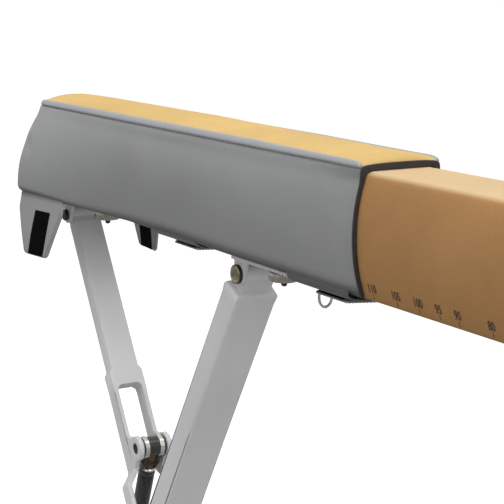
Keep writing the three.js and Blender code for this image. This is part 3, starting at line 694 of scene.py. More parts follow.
class Line:
    """A polyline followed by arc length."""

    def __init__(self, points):
        self.points = [Vector(p) for p in points]
        self.marks = [0.0]
        for a, b in zip(self.points, self.points[1:]):
            self.marks.append(self.marks[-1] + (b - a).length)
        self.length = self.marks[-1]

    def locate(self, s):
        """Segment at arc length s, and the fraction along it."""
        s = min(max(s, 0.0), self.length)
        marks = self.marks
        k = next(k for k in range(len(marks) - 1) if marks[k + 1] >= s - 1e-9)
        return k, (s - marks[k]) / max(marks[k + 1] - marks[k], 1e-9)

    def at(self, s):
        k, t = self.locate(s)
        return self.points[k].lerp(self.points[k + 1], t)

    def normal(self, s):
        """Normal in the (y, z) plane: -y where the line falls, -z where it runs to +y."""
        along = (self.at(s + 1.5) - self.at(s - 1.5)).normalized()
        return Vector((0, along.z, -along.y))


STITCH_GAP = 1.4
# fraction along a stitch, its relative radius there, its lift in radii
STITCH_RINGS = ((0, 0.45, 0.1), (0.3, 1.0, 0.55), (0.7, 1.0, 0.55), (1, 0.45, 0.1))


def stitches(name, path, ups, length, radius, body):
    """A run of short raised stitches along a path with outward normals, in one mesh."""
    line = Line(path)
    ups = [Vector(u) for u in ups]
    verts, faces = [], []
    start = STITCH_GAP
    while start + length < line.length:
        rings = []
        for t, size, lift in STITCH_RINGS:
            s = start + t * length
            k, fraction = line.locate(s)
            up = ups[k].lerp(ups[k + 1], fraction).normalized()
            along = (line.at(s + 0.4) - line.at(s - 0.4)).normalized()
            side = along.cross(up).normalized()
            centre = line.at(s)
            rings.append(list(range(len(verts), len(verts) + 6)))
            for i in range(6):
                a = 2 * math.pi * i / 6
                rise = lift * radius + radius * size * math.sin(a)
                verts.append(tuple(centre + up * rise + side * (radius * size * math.cos(a))))
        for a, b in zip(rings, rings[1:]):
            faces += bridge(a, b)
        faces.append(tuple(rings[0]))
        faces.append(tuple(rings[-1]))
        start += length + STITCH_GAP
    return make(name, verts, faces, "thread", body)


# ---------------------------------------------------------------------------
# pad: crowned top cushion
# ---------------------------------------------------------------------------
CUSHION_HALF = 56.5
CUSHION_STEPS = 22  # across the width
CUSHION_SHRINK = 2.2  # left for the swelling to fill
# x, height above the beam's top at the long edges, then along the middle
CUSHION_EDGE = ((-2512, 12.6), (-2400, 13.6), (-2106, 14.6), (-1793, 13.2), (-1544, 11.2))
CUSHION_MIDDLE = (
    (-2512, 24.6), (-2470, 25.6), (-2390, 26.4), (-2029, 26.2), (-1905, 24.4),
    (-1793, 22.8), (-1690, 22.6), (-1595, 21.4), (-1507, 21.0),
)


def crown_height(x, y):
    """Height of the finished top cushion above the beam's top."""
    edge = table(x, CUSHION_EDGE)
    middle = table(x, CUSHION_MIDDLE) + 0.5 * wobble(x, 0, 7, 130)
    across = min(1.0, abs(y) / CUSHION_HALF)
    arch = 1 - across ** 2.3
    height = edge + (middle - edge) * arch + 0.2 * wobble(x, y, 3, 45) * (1 - across)
    # rounded at the open end, drawn down into the binding at the other
    left = max(0.0, (x - PAD_X0) / 9.0)
    if left < 1:
        height -= 5.0 * (1 - quarter(left))
    right = max(0.0, (PAD_END - x) / 19.0)
    if right < 1:
        bound = 6.4 + 1.8 * arch
        height = bound + (height - bound) * quarter(right)
    return height


def cushion_section(x):
    steps = range(CUSHION_STEPS + 1)
    half = CUSHION_HALF
    points = []
    for i in steps:
        y = -half + 2 * half * i / CUSHION_STEPS
        points.append((y, BEAM_TOP + (0.6 if abs(y) < 50.2 else 5.9)))
    for i in steps:
        y = half - 2 * half * i / CUSHION_STEPS
        shrink = CUSHION_SHRINK * (1 - (abs(y) / half) ** 4)
        points.append((y, BEAM_TOP + crown_height(x, y) - shrink))
    return points


def top_cushion():
    xs = stations(
        PAD_X0 + 0.3, PAD_END, 165,
        near_start=(1.0, 2.4, 4.2), near_end=(0.5, 1.2, 2.4, 4.0, 9.0),
    )
    verts, faces, rings = swept([(x, cushion_section(x)) for x in xs])
    top = make("pad_top_cushion", verts, faces, "yellow")
    lower = CUSHION_STEPS + 1
    pinned = {*rings[0], *rings[-1]}
    for ring in rings:
        pinned.update(ring[:lower + 2])
        pinned.update(ring[-2:])
    inflate(top, pinned, cap=3.0, pressure=4.0)
    subdivide(top)
    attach(top, "beam")
    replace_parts(top, "pad_top")


top_cushion()

# ---------------------------------------------------------------------------
# pad: side panels
# ---------------------------------------------------------------------------
PANEL_SHRINK = 1.6  # left for the swelling to fill
CORNER = 14.0  # length of the rounding at the open end's lower corner
# x, height of the panels' lower edge before the flare
PANEL_LOW = (
    (-2512, 1098.4), (-2450, 1098.8), (-2400, 1098.2), (-2350, 1096.4), (-2175, 1094.6),
    (-2079, 1094.2), (-2005, 1095.4), (-1931, 1094.2), (-1844, 1093.2), (-1680, 1093.2),
    (-1500, 1093.0),
)
# centre x and depth of the upright folds near the binding
FOLDS = ((-1538, 1.1), (-1572, -0.8), (-1640, 0.6))
# fractions of the panel's height, bottom edge to top seam
PANEL_STEPS = (
    [0, 0.006, 0.014, 0.024, 0.036, 0.048]
    + [0.06 + 0.86 * i / 22 for i in range(23)]
    + [0.945, 0.963, 0.977, 0.988, 1.0]
)


def panel_swell(x, z, side):
    """Extra fullness of a foam panel where nothing holds it, and tucks at the closed flaps."""
    low = smooth((1150 - z) / 60) * smooth((z - 1096) / 14)
    hold = max(bump(x, FLAP_X["middle"], 150), bump(x, FLAP_X["right"], 150))
    out = 2.2 * low * (1 - hold) * smooth((x + 2330) / 120)
    out -= 1.2 * low * hold
    between = smooth((z - PAD_LOW) / 20) * smooth((SEAM_Z - z) / 20)
    out += 1.1 * wobble(x, 40 * side, z, 120) * between
    out *= smooth((PAD_END - x) / 60)
    for centre, depth in FOLDS:
        out += depth * bump(x, centre, 26) * smooth((1215 - z) / 60)
    # one dent near the open end
    out -= 3.2 * bump(x, -2492, 26) * bump(z, 1180, 26)
    return out


def panel_thickness(x, t):
    """Thinner at the binding, the rounded lower edge and the rounded open end."""
    thick = 4.2 + (PAD_THICK - 4.2) * smooth((PAD_END - x) / 60.0)
    low = t * PANEL_DEPTH
    if low < 10.0:
        thick *= 0.26 + 0.74 * quarter(low / 10.0)
    inset = x - PAD_X0
    if inset < 5:
        thick *= 0.35 + 0.65 * quarter(inset / 5.0)
    return thick


def panel_section(x, side):
    inner, outer = [], []
    low = table(x, PANEL_LOW)
    for t in PANEL_STEPS:
        z = low + (SEAM_Z - low) * t
        thick = panel_thickness(x, t)
        inset = 0.2 * (PAD_THICK - thick) * smooth(1 - t / 0.1)
        lift = 0.0
        if x < PAD_X0 + CORNER:
            lift = 9.0 * (1 - quarter((x - PAD_X0) / CORNER)) * smooth(1 - t / 0.25)
        ease = smooth(t / 0.08) * smooth((1 - t) / 0.08)
        full = pad_outer(z, thick) + inset
        high = (1 - t) * PANEL_DEPTH
        if high < 5.0:
            full -= 2.6 * (1 - quarter(high / 5.0))
        swell = panel_swell(x, z, side) * (0.35 + 0.65 * ease) * smooth((1 - t) / 0.05)
        inner_point = flared(inner_y(z) + inset, z + lift, x)
        outer_point = flared(full - PANEL_SHRINK * ease + swell, z + lift, x)
        inner.append((side * inner_point[0], inner_point[1]))
        outer.append((side * outer_point[0], outer_point[1]))
    return inner + outer[::-1]


def roll_under(panel, rings, xs, side):
    """Rolls the lower edge in and marks it for painted shade, darkest at the edge."""
    mark = panel.data.attributes.new("painted_under_shade", "FLOAT", "POINT")
    for ring, x in zip(rings, xs):
        # the painted shade reaches higher and gets darker towards the binding
        along = smooth((x + 2350) / 300)
        depth = 11.0 + 9.0 * along
        most = 0.80 + 0.15 * along
        roll = 1.5 * smooth((PAD_END - x) / 40)
        for j, t in enumerate(PANEL_STEPS):
            low = t * PANEL_DEPTH
            outer = ring[-1 - j]
            value = most * (1 - smooth(low / depth))
            mark.data[outer].value = value
            mark.data[ring[j]].value = value
            curl = 1 - math.sqrt(1 - (1 - min(1.0, low / 13.0)) ** 2)
            panel.data.vertices[outer].co.y -= side * MM * roll * curl


def side_panel(label, side):
    xs = stations(PAD_X0 + 0.2, PAD_END + 0.3, 170, near_start=(0.8, 1.8, 3.0, 4.4))
    verts, faces, rings = swept([(x, panel_section(x, side)) for x in xs])
    panel = make(f"pad_side_{label}_panel", verts, faces, "vinyl")
    # held on the inside, at both long edges and at both ends
    pinned = {*rings[0], *rings[-1]}
    for ring in rings:
        pinned.update(ring[:len(PANEL_STEPS) + 3])
        pinned.update(ring[-3:])
    inflate(panel, pinned, cap=2.4, pressure=3.5)
    roll_under(panel, rings, xs, side)
    subdivide(panel)
    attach(panel, "beam")
    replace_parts(panel, f"pad_side_{label}")


for label, side in FRONT_REAR.items():
    side_panel(label, side)

# ---------------------------------------------------------------------------
# pad: piping along both top edges, stitched below
# ---------------------------------------------------------------------------
PIPING_SIDES = 16
PIPING_Y, PIPING_HALF, PIPING_TILT = 57.5, 3.3, -0.50
PIPING_LOW = 4.4  # lowest and highest points above the beam's top
PIPING_HIGH = 14.6
PIPING_XS = stations(PAD_X0 + 0.4, PAD_END, 200, near_start=(1.2, 2.6), near_end=(1.2, 2.6))


def piping_section(x, side):
    """Tilted squarish oval, shrinking at both ends."""
    end = min(x - PAD_X0, PAD_END + 0.2 - x)
    shrink = 0.55 + 0.45 * quarter(min(1.0, end / 5.0))
    high = min(PIPING_HIGH, crown_height(x, CUSHION_HALF) + 1.4)
    centre_z = BEAM_TOP + 0.5 * (PIPING_LOW + high) + 0.2 * wobble(x, 11 * side, 0, 60)
    half_height = max(2.6, 0.5 * (high - PIPING_LOW) + 0.7)
    cos_tilt, sin_tilt = math.cos(PIPING_TILT), math.sin(PIPING_TILT)
    points = []
    for i in range(PIPING_SIDES):
        angle = 2 * math.pi * (i + 0.5) / PIPING_SIDES
        across, up = math.cos(angle), math.sin(angle)
        across = math.copysign(abs(across) ** 0.8, across) * PIPING_HALF * shrink
        up = math.copysign(abs(up) ** 0.8, up) * half_height * shrink
        y = PIPING_Y + across * cos_tilt + up * sin_tilt
        points.append((side * y, centre_z - across * sin_tilt + up * cos_tilt))
    return points


for label, side in FRONT_REAR.items():
    verts, faces, _ = swept([(x, piping_section(x, side)) for x in PIPING_XS])
    subdivide(make(f"pad_piping_{label}", verts, faces, "piping", "beam"))
    path = [(x, side * 61.5, 1254.0) for x in PIPING_XS[:200:2]]
    ups = [(0, side * 0.93, 0.36)] * len(path)
    stitches(f"pad_stitching_{label}", path, ups, length=3.4, radius=0.55, body="beam")

# ---------------------------------------------------------------------------
# pad: binding round the right end
# ---------------------------------------------------------------------------
BINDING_SHOULDER = 1255.2
BINDING_SIDE_STEPS, BINDING_TOP_STEPS = 18, 14
# x from the pad's end, how far the outline is grown there
BINDING_SECTIONS = (
    (-3.9, -0.8), (-3.7, 0.3), (-2.9, 0.7), (-1.7, 0.7), (-0.8, 0.4), (-0.2, -0.3), (0.0, -1.1),
)


def binding_section(grow):
    """Closed outline: over the outside of the pad, then back along its inside."""
    low = table(PAD_X1, PANEL_LOW)
    foot = low - 0.4 * grow
    inside_top = BEAM_TOP + 0.5
    rise = 3.9 + 0.6 * grow
    outer, inner = [], []
    for i in range(BINDING_SIDE_STEPS + 1):
        t = i / BINDING_SIDE_STEPS
        z = foot + (BINDING_SHOULDER - low) * t
        notch = 0.8 if i == BINDING_SIDE_STEPS else 0.0
        outer.append((pad_outer(z, 4.3 + grow) - notch, z))
        z = foot + (inside_top - low) * t
        inner.append((inner_y(z) - 0.45, z))
    outer_y, inner_top_y = outer[-1][0], inner[-1][0]
    for i in range(1, BINDING_TOP_STEPS + 1):
        u = 1 - i / BINDING_TOP_STEPS
        outer.append((outer_y * u, BINDING_SHOULDER + rise * math.sqrt(1 - u ** 3)))
        inner.append((inner_top_y * u, inside_top))
    outer += [(-y, z) for y, z in outer[-2::-1]]
    inner += [(-y, z) for y, z in inner[-2::-1]]
    return outer + inner[::-1]


verts, faces, _ = swept([(PAD_X1 + x, binding_section(grow)) for x, grow in BINDING_SECTIONS])
binding = make("pad_binding_band", verts, faces, "binding", "beam")
subdivide(binding)
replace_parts(binding, "pad_binding")


# ---------------------------------------------------------------------------
# flaps: tapered tongues with hook strips
# ---------------------------------------------------------------------------
def tongue_half(s, length, taper, base=74.0, tip=37.5):
    """Half width at distance s: full up to taper, then narrowing to a tip with round corners."""
    half = base
    if s > taper:
        half += (tip - base) * (s - taper) / (length - taper)
    left = length - s
    radius = 6.0
    if left < radius:
        half -= radius - math.sqrt(max(0.0, radius * radius - (radius - left) ** 2))
    return half


def rounded(points):
    """Cuts the corners of a polyline three times to make a soft curve."""
    for _ in range(3):
        cut = [points[0]]
        for a, b in zip(points, points[1:]):
            cut.append((a[0] * 0.75 + b[0] * 0.25, a[1] * 0.75 + b[1] * 0.25))
            cut.append((a[0] * 0.25 + b[0] * 0.75, a[1] * 0.25 + b[1] * 0.75))
        cut.append(points[-1])
        points = cut
    return points


def soft_line(points, side=1.0):
    return Line([(0, side * y, z) for y, z in rounded(points)])


def twisted(x0, y0, twist, x, y):
    """Turns a point about the upright through (x0, y0)."""
    c, s = math.cos(twist), math.sin(twist)
    return x0 + (x - x0) * c - (y - y0) * s, y0 + (x - x0) * s + (y - y0) * c


def sheet(
    name, material, line, x0, start, end, half, thickness, offset, rows, cols, seed,
    soft=1.0, crown=0.0, twist=0.0, pivot_y=0.0, drift=None, painted_shade=None,
):
    """Closed soft sheet along a line from arc length start to end, thinned at its edges.

    half(s) is its half width, drift(s) its shift along x and the painted shade function
    its painted shade at s; crown and soft bulge and ripple it along the line's normal."""
    verts, painted_shades, faces = [], [], []
    for face_side in (1, -1):
        for row in range(rows + 1):
            s = start + (end - start) * (row / rows)
            centre, normal, half_width = line.at(s), line.normal(s), half(s)
            for col in range(cols + 1):
                q = -1 + 2 * col / cols
                q = math.copysign(1 - (1 - abs(q)) ** 1.25, q)
                to_edge = min((1 - abs(q)) * half_width, max(0.0, end - s))
                edge = min(1.0, to_edge / (thickness * 0.7))
                thick = thickness * (0.34 + 0.66 * quarter(edge))
                x = x0 + q * half_width
                ripple = soft * 0.9 * wobble(x, s, seed, 55) * smooth(s / 40)
                lift = offset + 0.5 * thick * face_side + crown * (1 - q * q) + ripple
                point = centre + normal * lift
                if drift:
                    x += drift(s)
                verts.append((*twisted(x0, pivot_y, twist, x, point.y), point.z))
                if painted_shade:
                    painted_shades.append(painted_shade(s))

    def at(layer, row, col):
        return (layer * (rows + 1) + row) * (cols + 1) + col

    for layer in (0, 1):
        for r in range(rows):
            for c in range(cols):
                faces.append((
                    at(layer, r, c), at(layer, r, c + 1),
                    at(layer, r + 1, c + 1), at(layer, r + 1, c),
                ))
    for r in range(rows):
        for c in (0, cols):
            faces.append((at(0, r, c), at(0, r + 1, c), at(1, r + 1, c), at(1, r, c)))
    for c in range(cols):
        for r in (0, rows):
            faces.append((at(0, r, c), at(0, r, c + 1), at(1, r, c + 1), at(1, r, c)))
    o = make(name, verts, faces, material)
    if painted_shade:
        mark = o.data.attributes.new("painted_under_shade", "FLOAT", "POINT")
        mark.data.foreach_set("value", painted_shades)
    subdivide(o)
    return o


def edge_stitch(name, body, line, x0, start, half, lift, inset, twist=0.0, pivot_y=0.0):
    """Stitches down one edge of a tongue, across its tip and back up the other edge."""
    end = line.length - inset
    steps = 30
    tip_steps = 10
    down = [start + (end - start) * i / steps for i in range(steps + 1)]
    tip = half(end) - inset
    points = [(-(half(s) - inset), s) for s in down]
    points += [(-tip + 2 * tip * i / tip_steps, end) for i in range(1, tip_steps)]
    points += [(half(s) - inset, s) for s in down[::-1]]
    path, ups = [], []
    for dx, s in points:
        normal = line.normal(s)
        point = line.at(s) + normal * lift
        path.append((*twisted(x0, pivot_y, twist, x0 + dx, point.y), point.z))
        ups.append(normal * (1 if lift > 0 else -1))
    stitches(name, path, ups, length=3.2, radius=0.5, body=body)


def attach_flap(flap, strip, body, line, start, end):
    """Bakes the flap's placement into its mesh, puts the strip on the body and hides the body's CAD
    part; the two arc lengths are looked up but not used.
    """
    first, last = line.at(start), line.at(end)
    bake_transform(flap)
    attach(strip, body)
    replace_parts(flap, body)


HINGE_Y, HINGE_Z = flared(inner_y(PAD_LOW) + PAD_THICK / 2, PAD_LOW, FLAP_X["left"])
TUCK, TUCK_LEAN = 13.0, 0.22  # how far an open flap reaches up behind its panel, and its slope
# base and tip are half widths; drop is the length below the fold; strip_dx shifts the strip
OPEN_FLAPS = {
    "front": dict(
        x0=-2434.8, hinge_y=92.4, lean=0.168, twist=0.14,
        base=72.0, tip=38.0, drop=103.5, strip_dx=11.0,
    ),
    "rear": dict(
        x0=-2426.6, hinge_y=94.0, lean=0.095, twist=0.075,
        base=74.5, tip=39.0, drop=107.5, strip_dx=0.0,
    ),
}


def open_flap(label, side, x0, hinge_y, lean, twist, base, tip, drop, strip_dx):
    """Starts behind the panel's lower edge and hangs with a slight outward lean."""
    body = f"flap_{label}_left"
    points = [
        (hinge_y - TUCK * math.sin(TUCK_LEAN), HINGE_Z + TUCK * math.cos(TUCK_LEAN)),
        (hinge_y, HINGE_Z + 2),
    ]
    for s in (14, 34, 54, 74, 90, drop):
        curl = 1.2 * math.sin(s / drop * math.pi * 0.9)
        points.append((hinge_y + s * math.sin(lean) + curl, HINGE_Z - s * math.cos(lean)))
    line = soft_line(points, side)
    out = -side  # the line's normal points to the front
    fold = line.length - drop
    strip_start = fold + 24.0
    turn = dict(twist=-side * twist, pivot_y=side * HINGE_Y)
    shape = dict(crown=out * 0.8, seed=3 + side, **turn)

    def half(s):
        if s > fold - 2:
            return tongue_half(s - fold, drop, 26.0, base, tip)
        return base - 1.0

    def drift(s):
        return strip_dx * (1 - 0.75 * (s - strip_start) / (line.length - strip_start))

    flap = sheet(
        f"{body}_tongue", "vinyl", line, x0, 0.0, line.length, half,
        thickness=5.2, offset=0.0, rows=40, cols=24,
        # painted shadow under the panel's lower edge, fading out just below the fold
        painted_shade=lambda s: 0.55 * (1 - smooth((s - fold + 1) / 9)), **shape,
    )
    # on the front face of both flaps
    strip = sheet(
        f"{body}_hook_strip", "hooks", line, x0, strip_start, line.length - 1.5,
        lambda s: 25.0, thickness=1.5, offset=3.0, rows=26, cols=14, drift=drift, **shape,
    )
    attach_flap(flap, strip, body, line, fold - 3, fold + 12)
    for sign, tag in ((1, "outer"), (-1, "inner")):
        edge_stitch(
            f"{body}_stitching_{tag}", body, line, x0, fold + 14, half,
            lift=out * (sign * 2.5 + 0.4), inset=5.0, **turn,
        )


for label, side in FRONT_REAR.items():
    open_flap(label, side, **OPEN_FLAPS[label])


def folded_flap(body, x0, points, drop, taper, tongue, bend, strip, painted_shade=0.0, stitched=False):
    """Wraps round the beam's lower edge along (y, z) points and lies flat beneath it."""
    line = soft_line(points)
    fold = line.length - drop

    def half(s):
        return tongue_half(max(0.0, s - fold), drop, taper)

    # painted shade on the fold under the panel, fading out past the fold
    def shaded(s):
        return painted_shade * (1 - smooth((s - fold - 24) / 20))

    flap = sheet(
        f"{body}_tongue", "vinyl", line, x0, 0.0, line.length, half,
        offset=0.0, cols=20, painted_shade=shaded if painted_shade else None, **tongue,
    )
    hook_strip = sheet(
        f"{body}_hook_strip", "hooks", line, x0, fold + strip["start"],
        line.length - strip["margin"], lambda s: strip["half"],
        seed=tongue["seed"], soft=tongue["soft"], **strip["sheet"],
    )
    attach_flap(flap, hook_strip, body, line, fold + bend[0], fold + bend[1])
    if stitched:
        edge_stitch(
            f"{body}_stitching", body, line, x0, fold + 20, half, lift=-1.9, inset=4.5)


# bend is passed as two arc lengths past the fold but does not blend the flap; strip start and margin
# keep it off both ends
# only the front flaps get painted shade on their fold under the panel
FRONT_FOLDED = dict(
    drop=88.0, taper=20.0, painted_shade=0.72, bend=(-6, 8),
    tongue=dict(thickness=3.6, rows=34, seed=9, soft=0.15),
    strip=dict(
        start=14.0, margin=2.0, half=24.5,
        sheet=dict(thickness=1.2, offset=2.2, rows=20, cols=12),
    ),
)
REAR_FOLDED = dict(
    drop=108.0, taper=22.0, stitched=True, bend=(-2, 10),
    tongue=dict(thickness=3.8, rows=40, seed=13, soft=0.12),
    strip=dict(
        start=27.0, margin=1.6, half=31.0,
        sheet=dict(thickness=1.0, offset=1.9, rows=22, cols=14),
    ),
)
# (y, z) line of the front flap, from its panel to its tip
FRONT_LINES = {
    "middle": [
        (-58.0, 1110), (-58.6, 1101), (-58.6, 1096.0), (-55.0, 1092.4), (-49, 1089.2),
        (-42, 1087.2), (-30, 1085.3), (-20, 1084.5), (30.1, 1084.1),
    ],
    "right": [
        (-58.0, 1110), (-58.8, 1100), (-59.6, 1093.2), (-57.5, 1088.8), (-50, 1086.2),
        (-42, 1084.8), (-30, 1083.6), (-20, 1082.6), (30.1, 1079.6),
    ],
}
REAR_UNDER = {"middle": 1079.3, "right": 1074.9}  # the rear flap lies beneath the front one

for place, front_line in FRONT_LINES.items():
    folded_flap(f"flap_front_{place}", FLAP_X[place], front_line, **FRONT_FOLDED)
    under = REAR_UNDER[place]
    rear_line = [
        (58.0, 1110), (58.6, 1100), (58.6, 1093.5), (56.6, 1086.5), (51.5, under + 2.2),
        (44, under), (10, under), (-39.6, under - 0.2),
    ]
    folded_flap(f"flap_rear_{place}", FLAP_X[place], rear_line, **REAR_FOLDED)

# ---------------------------------------------------------------------------
# height scale printed on the beam's front side: numbers in centimetres, and ticks
# ---------------------------------------------------------------------------
INK_LIFTS = (0.22, 0.02)  # outer and inner skins of the ink, off the beam
NUMBER_Z = 1104.6
TICK_HALF, TICK_LOW, TICK_HIGH = 0.45, 1096.6, 1102.4


def inked(outline):
    """The outline of (x, z) points laid on the beam's front side, twice."""
    return [(x, -(side_y(z) + lift), z) for lift in INK_LIFTS for x, z in outline]


def number_mesh(label):
    """The printed number as a triangulated bmesh, in text units."""
    curve = bpy.data.curves.new("digits", "FONT")
    curve.body = str(label)
    curve.size = 15.5
    curve.align_x = "CENTER"
    curve.offset = 0.22
    curve.resolution_u = 6
    o = bpy.data.objects.new("digits", curve)
    scene.collection.objects.link(o)
    bpy.context.view_layer.update()
    bm = bmesh.new()
    bm.from_mesh(o.to_mesh())
    bmesh.ops.triangulate(bm, faces=bm.faces)
    o.to_mesh_clear()
    bpy.data.objects.remove(o)
    bpy.data.curves.remove(curve)
    return bm


def scale_marks(name, places):
    """Numbers and ticks at (label, x) places, as thin closed solids in one mesh."""
    verts, faces = [], []
    for label, x in places:
        bm = number_mesh(label)
        base = len(verts)
        count = len(bm.verts)
        verts += inked([(x + v.co.x * 0.80, NUMBER_Z + v.co.y) for v in bm.verts])
        for f in bm.faces:
            face = [v.index + base for v in f.verts]
            faces.append(tuple(face))
            faces.append(tuple(k + count for k in reversed(face)))
        for e in bm.edges:
            if len(e.link_faces) == 1:
                a, b = (v.index + base for v in e.verts)
                faces.append((a, b, b + count, a + count))
        bm.free()
        base = len(verts)
        left, right = x - TICK_HALF, x + TICK_HALF
        verts += inked([
            (left, TICK_LOW), (right, TICK_LOW), (right, TICK_HIGH), (left, TICK_HIGH)])
        tick = ((0, 1, 2, 3), (7, 6, 5, 4), (0, 1, 5, 4), (1, 2, 6, 5), (2, 3, 7, 6), (3, 0, 4, 7))
        faces += [tuple(base + i for i in face) for face in tick]
    make(name, verts, faces, "ink", "beam", flat=True)


def bracket_end(height):
    """Distance from the fixed pivot to the slide bracket's end, for a beam top in cm."""
    rise = height * 10 - (BEAM_TOP - PIVOT_Z + FOOT_Z)
    return math.sqrt(LEG ** 2 - rise ** 2) + BRACKET_END


HEIGHTS = (110, 105, 100, 95, 90, 80)
scale_marks("scale_numbers_left", [(h, -FIXED_X + bracket_end(h)) for h in HEIGHTS])
scale_marks(
    "scale_numbers_right", [(h, FIXED_X - bracket_end(h)) for h in (125, 120, 115) + HEIGHTS])

# ---------------------------------------------------------------------------
# pins, knobs and rings
# ---------------------------------------------------------------------------
CROSS_X, CROSS_Z = (FIXED_X + SLIDE_X) / 2, (PIVOT_Z + FOOT_Z) / 2


def pivot_pin(
    name, body, x, z=PIVOT_Z, head=14.0, radius=8.0, face=31.7, tail=11.0, tail_thick=4.0,
    material="yellow_zinc",
):
    """Headed pin: dished head at the front, washer and stud end at the rear.
    head and tail are radii; face is the distance from the middle to each."""
    tip = face + 6.0
    end = -face - tail_thick
    profile = [
        (0.0, end + 0.8), (radius * 0.66, end + 0.8), (radius * 0.72, end), (tail - 0.8, end),
        (tail, -face - tail_thick * 0.7), (tail, -face), (radius, -face), (radius, face),
        (head * 0.95, face), (head, face + 1.0), (head, tip - 1.8), (head * 0.95, tip - 0.6),
        (head * 0.86, tip), (head * 0.74, tip), (head * 0.66, tip - 0.9),
        (head * 0.52, tip - 1.0), (head * 0.42, tip - 0.5), (head * 0.30, tip - 1.1),
        (0.0, tip - 1.1),
    ]
    return turned(name, profile, 48, facing_front(x, z), material, body)


def head_washer(name, body, x):
    """Dark washer round the head of the slide pin."""
    radius, face, depth = 13.0, 31.72, 5.2
    profile = [
        (radius - 3.0, face - 0.02), (radius + 1.0, face - 0.02), (radius + 1.2, face + 0.4),
        (radius + 1.2, face + depth - 0.4), (radius + 0.7, face + depth),
        (radius - 3.0, face + depth),
    ]
    turned(name, profile, 48, facing_front(x, PIVOT_Z), "dark", body, smoothed=False)


def clamp_knob(name, body, x, drop=0.0):
    """Knurled wheel under the plate with its stud; a washer fills the drop, if any."""
    top = PLATE_BOTTOM - 0.3 - drop
    low = top - 16.0
    place = Matrix.Translation((x, 0, 0))
    wheel = [
        (0.0, low + 1.4), (9.5, low + 1.4), (10.5, low + 0.4), (12.0, low), (18.6, low),
        (20.6, low + 1.2), (22.0, low + 2.6), (22.0, top - 4.4), (20.8, top - 2.8),
        (19.0, top - 2.0), (16.5, top - 2.0), (16.0, top - 1.2), (15.6, top), (0.0, top),
    ]
    ribs = {5: 0.5, 6: 1.3, 7: 1.3, 8: 0.5}
    knob = turned(name, wheel, 144, place, "zinc", body, ribs=ribs)
    stud = [
        (0.0, low - 8.0), (2.4, low - 7.7), (3.9, low - 6.4), (4.5, low - 4.6),
        (4.5, low - 0.6), (5.4, low - 0.6), (7.9, low - 0.6), (7.9, low + 0.9), (0.0, low + 0.9),
    ]
    turned(f"{name}_stud", stud, 36, place, "dark", body)
    stud_top = [
        (0.0, top + 0.1), (4.4, top + 0.1), (4.4, PLATE_TOP - 0.4), (3.8, PLATE_TOP - 0.1),
        (0.0, PLATE_TOP - 0.1),
    ]
    turned(f"{name}_stud_top", stud_top, 30, place, "dark", body, smoothed=False)
    if drop:
        washer = [
            (4.6, top + 0.05), (9.4, top + 0.05), (10.0, top + 0.6),
            (10.0, PLATE_BOTTOM - 0.9), (9.4, PLATE_BOTTOM - 0.35), (4.6, PLATE_BOTTOM - 0.35),
        ]
        turned(f"{name}_washer", washer, 40, place, "dark", body)
    return knob


RING_BEYOND, RING_DROP = 4.5, 5.0  # past the slide bracket's end, and below the plate
RING_HALF_WIDTH, RING_HALF_HEIGHT = 10.2, 16.3
WIRE_RADIUS = 1.9
RING_STEPS, WIRE_SIDES = 72, 12


def wire_ring(name, body, x):
    """Pear-shaped ring of bent wire across the beam, with a small bead at its lowest point."""
    centre_z = PLATE_BOTTOM - RING_DROP - RING_HALF_HEIGHT
    verts, faces, rings = [], [], []
    for i in range(RING_STEPS):
        angle = 2 * math.pi * i / RING_STEPS
        y = RING_HALF_WIDTH * math.cos(angle) * (1.0 - 0.10 * math.sin(angle))
        z = centre_z + RING_HALF_HEIGHT * math.sin(angle)
        along_y = -RING_HALF_WIDTH * math.sin(angle)
        along_z = RING_HALF_HEIGHT * math.cos(angle)
        size = math.hypot(along_y, along_z)
        normal_y, normal_z = along_z / size, -along_y / size
        radius = WIRE_RADIUS + 0.4 * bump(angle, math.pi * 1.5, 0.12)
        rings.append(list(range(len(verts), len(verts) + WIRE_SIDES)))
        for j in range(WIRE_SIDES):
            turn = 2 * math.pi * j / WIRE_SIDES
            out = radius * math.cos(turn)
            verts.append((x + radius * math.sin(turn), y + normal_y * out, z + normal_z * out))
    for a, b in zip(rings, rings[1:] + rings[:1]):
        faces += bridge(a, b)
    return make(name, verts, faces, "bright", body)


# ---------------------------------------------------------------------------
# gas springs, drawn along local -z from the upper pin
# ---------------------------------------------------------------------------
SPRING_ASIDE = 38.0  # both spring pins stand this far beside their leg's axis
SPRING_TOP_ALONG = 447.0  # down the leg from the pivot
SPRING_FOOT_ALONG = LEG / 2 + 293
SPRING_TOP_X = FIXED_X - SPRING_TOP_ALONG * math.sin(LEAN) - SPRING_ASIDE * math.cos(LEAN)
SPRING_TOP_Z = PIVOT_Z - SPRING_TOP_ALONG * math.cos(LEAN) + SPRING_ASIDE * math.sin(LEAN)
SPRING_FOOT_X = SLIDE_X + SPRING_FOOT_ALONG * math.sin(LEAN) + SPRING_ASIDE * math.cos(LEAN)
SPRING_FOOT_Z = PIVOT_Z - SPRING_FOOT_ALONG * math.cos(LEAN) + SPRING_ASIDE * math.sin(LEAN)
ALONG_Y = Matrix(((1, 0, 0, 0), (0, 0, 1, 0), (0, -1, 0, 0), (0, 0, 0, 1)))  # local z to y
BUSH_HALF = 21.7

# z, half width in x, half depth in y
YOKE = (
    (-8, 9.6, 7.8), (-14, 11.0, 7.8), (-26, 11.2, 7.4), (-35, 10.4, 6.8), (-39.5, 9.0, 6.0))
CHEEK_INNER = 8.0
# z, half width in x, outer y
CHEEK = (
    (-6, 11.5, 15.6), (-14, 12.6, 15.6), (-28, 12.2, 15.6), (-37, 10.8, 13.6),
    (-41.5, 9.2, 11.8),
)
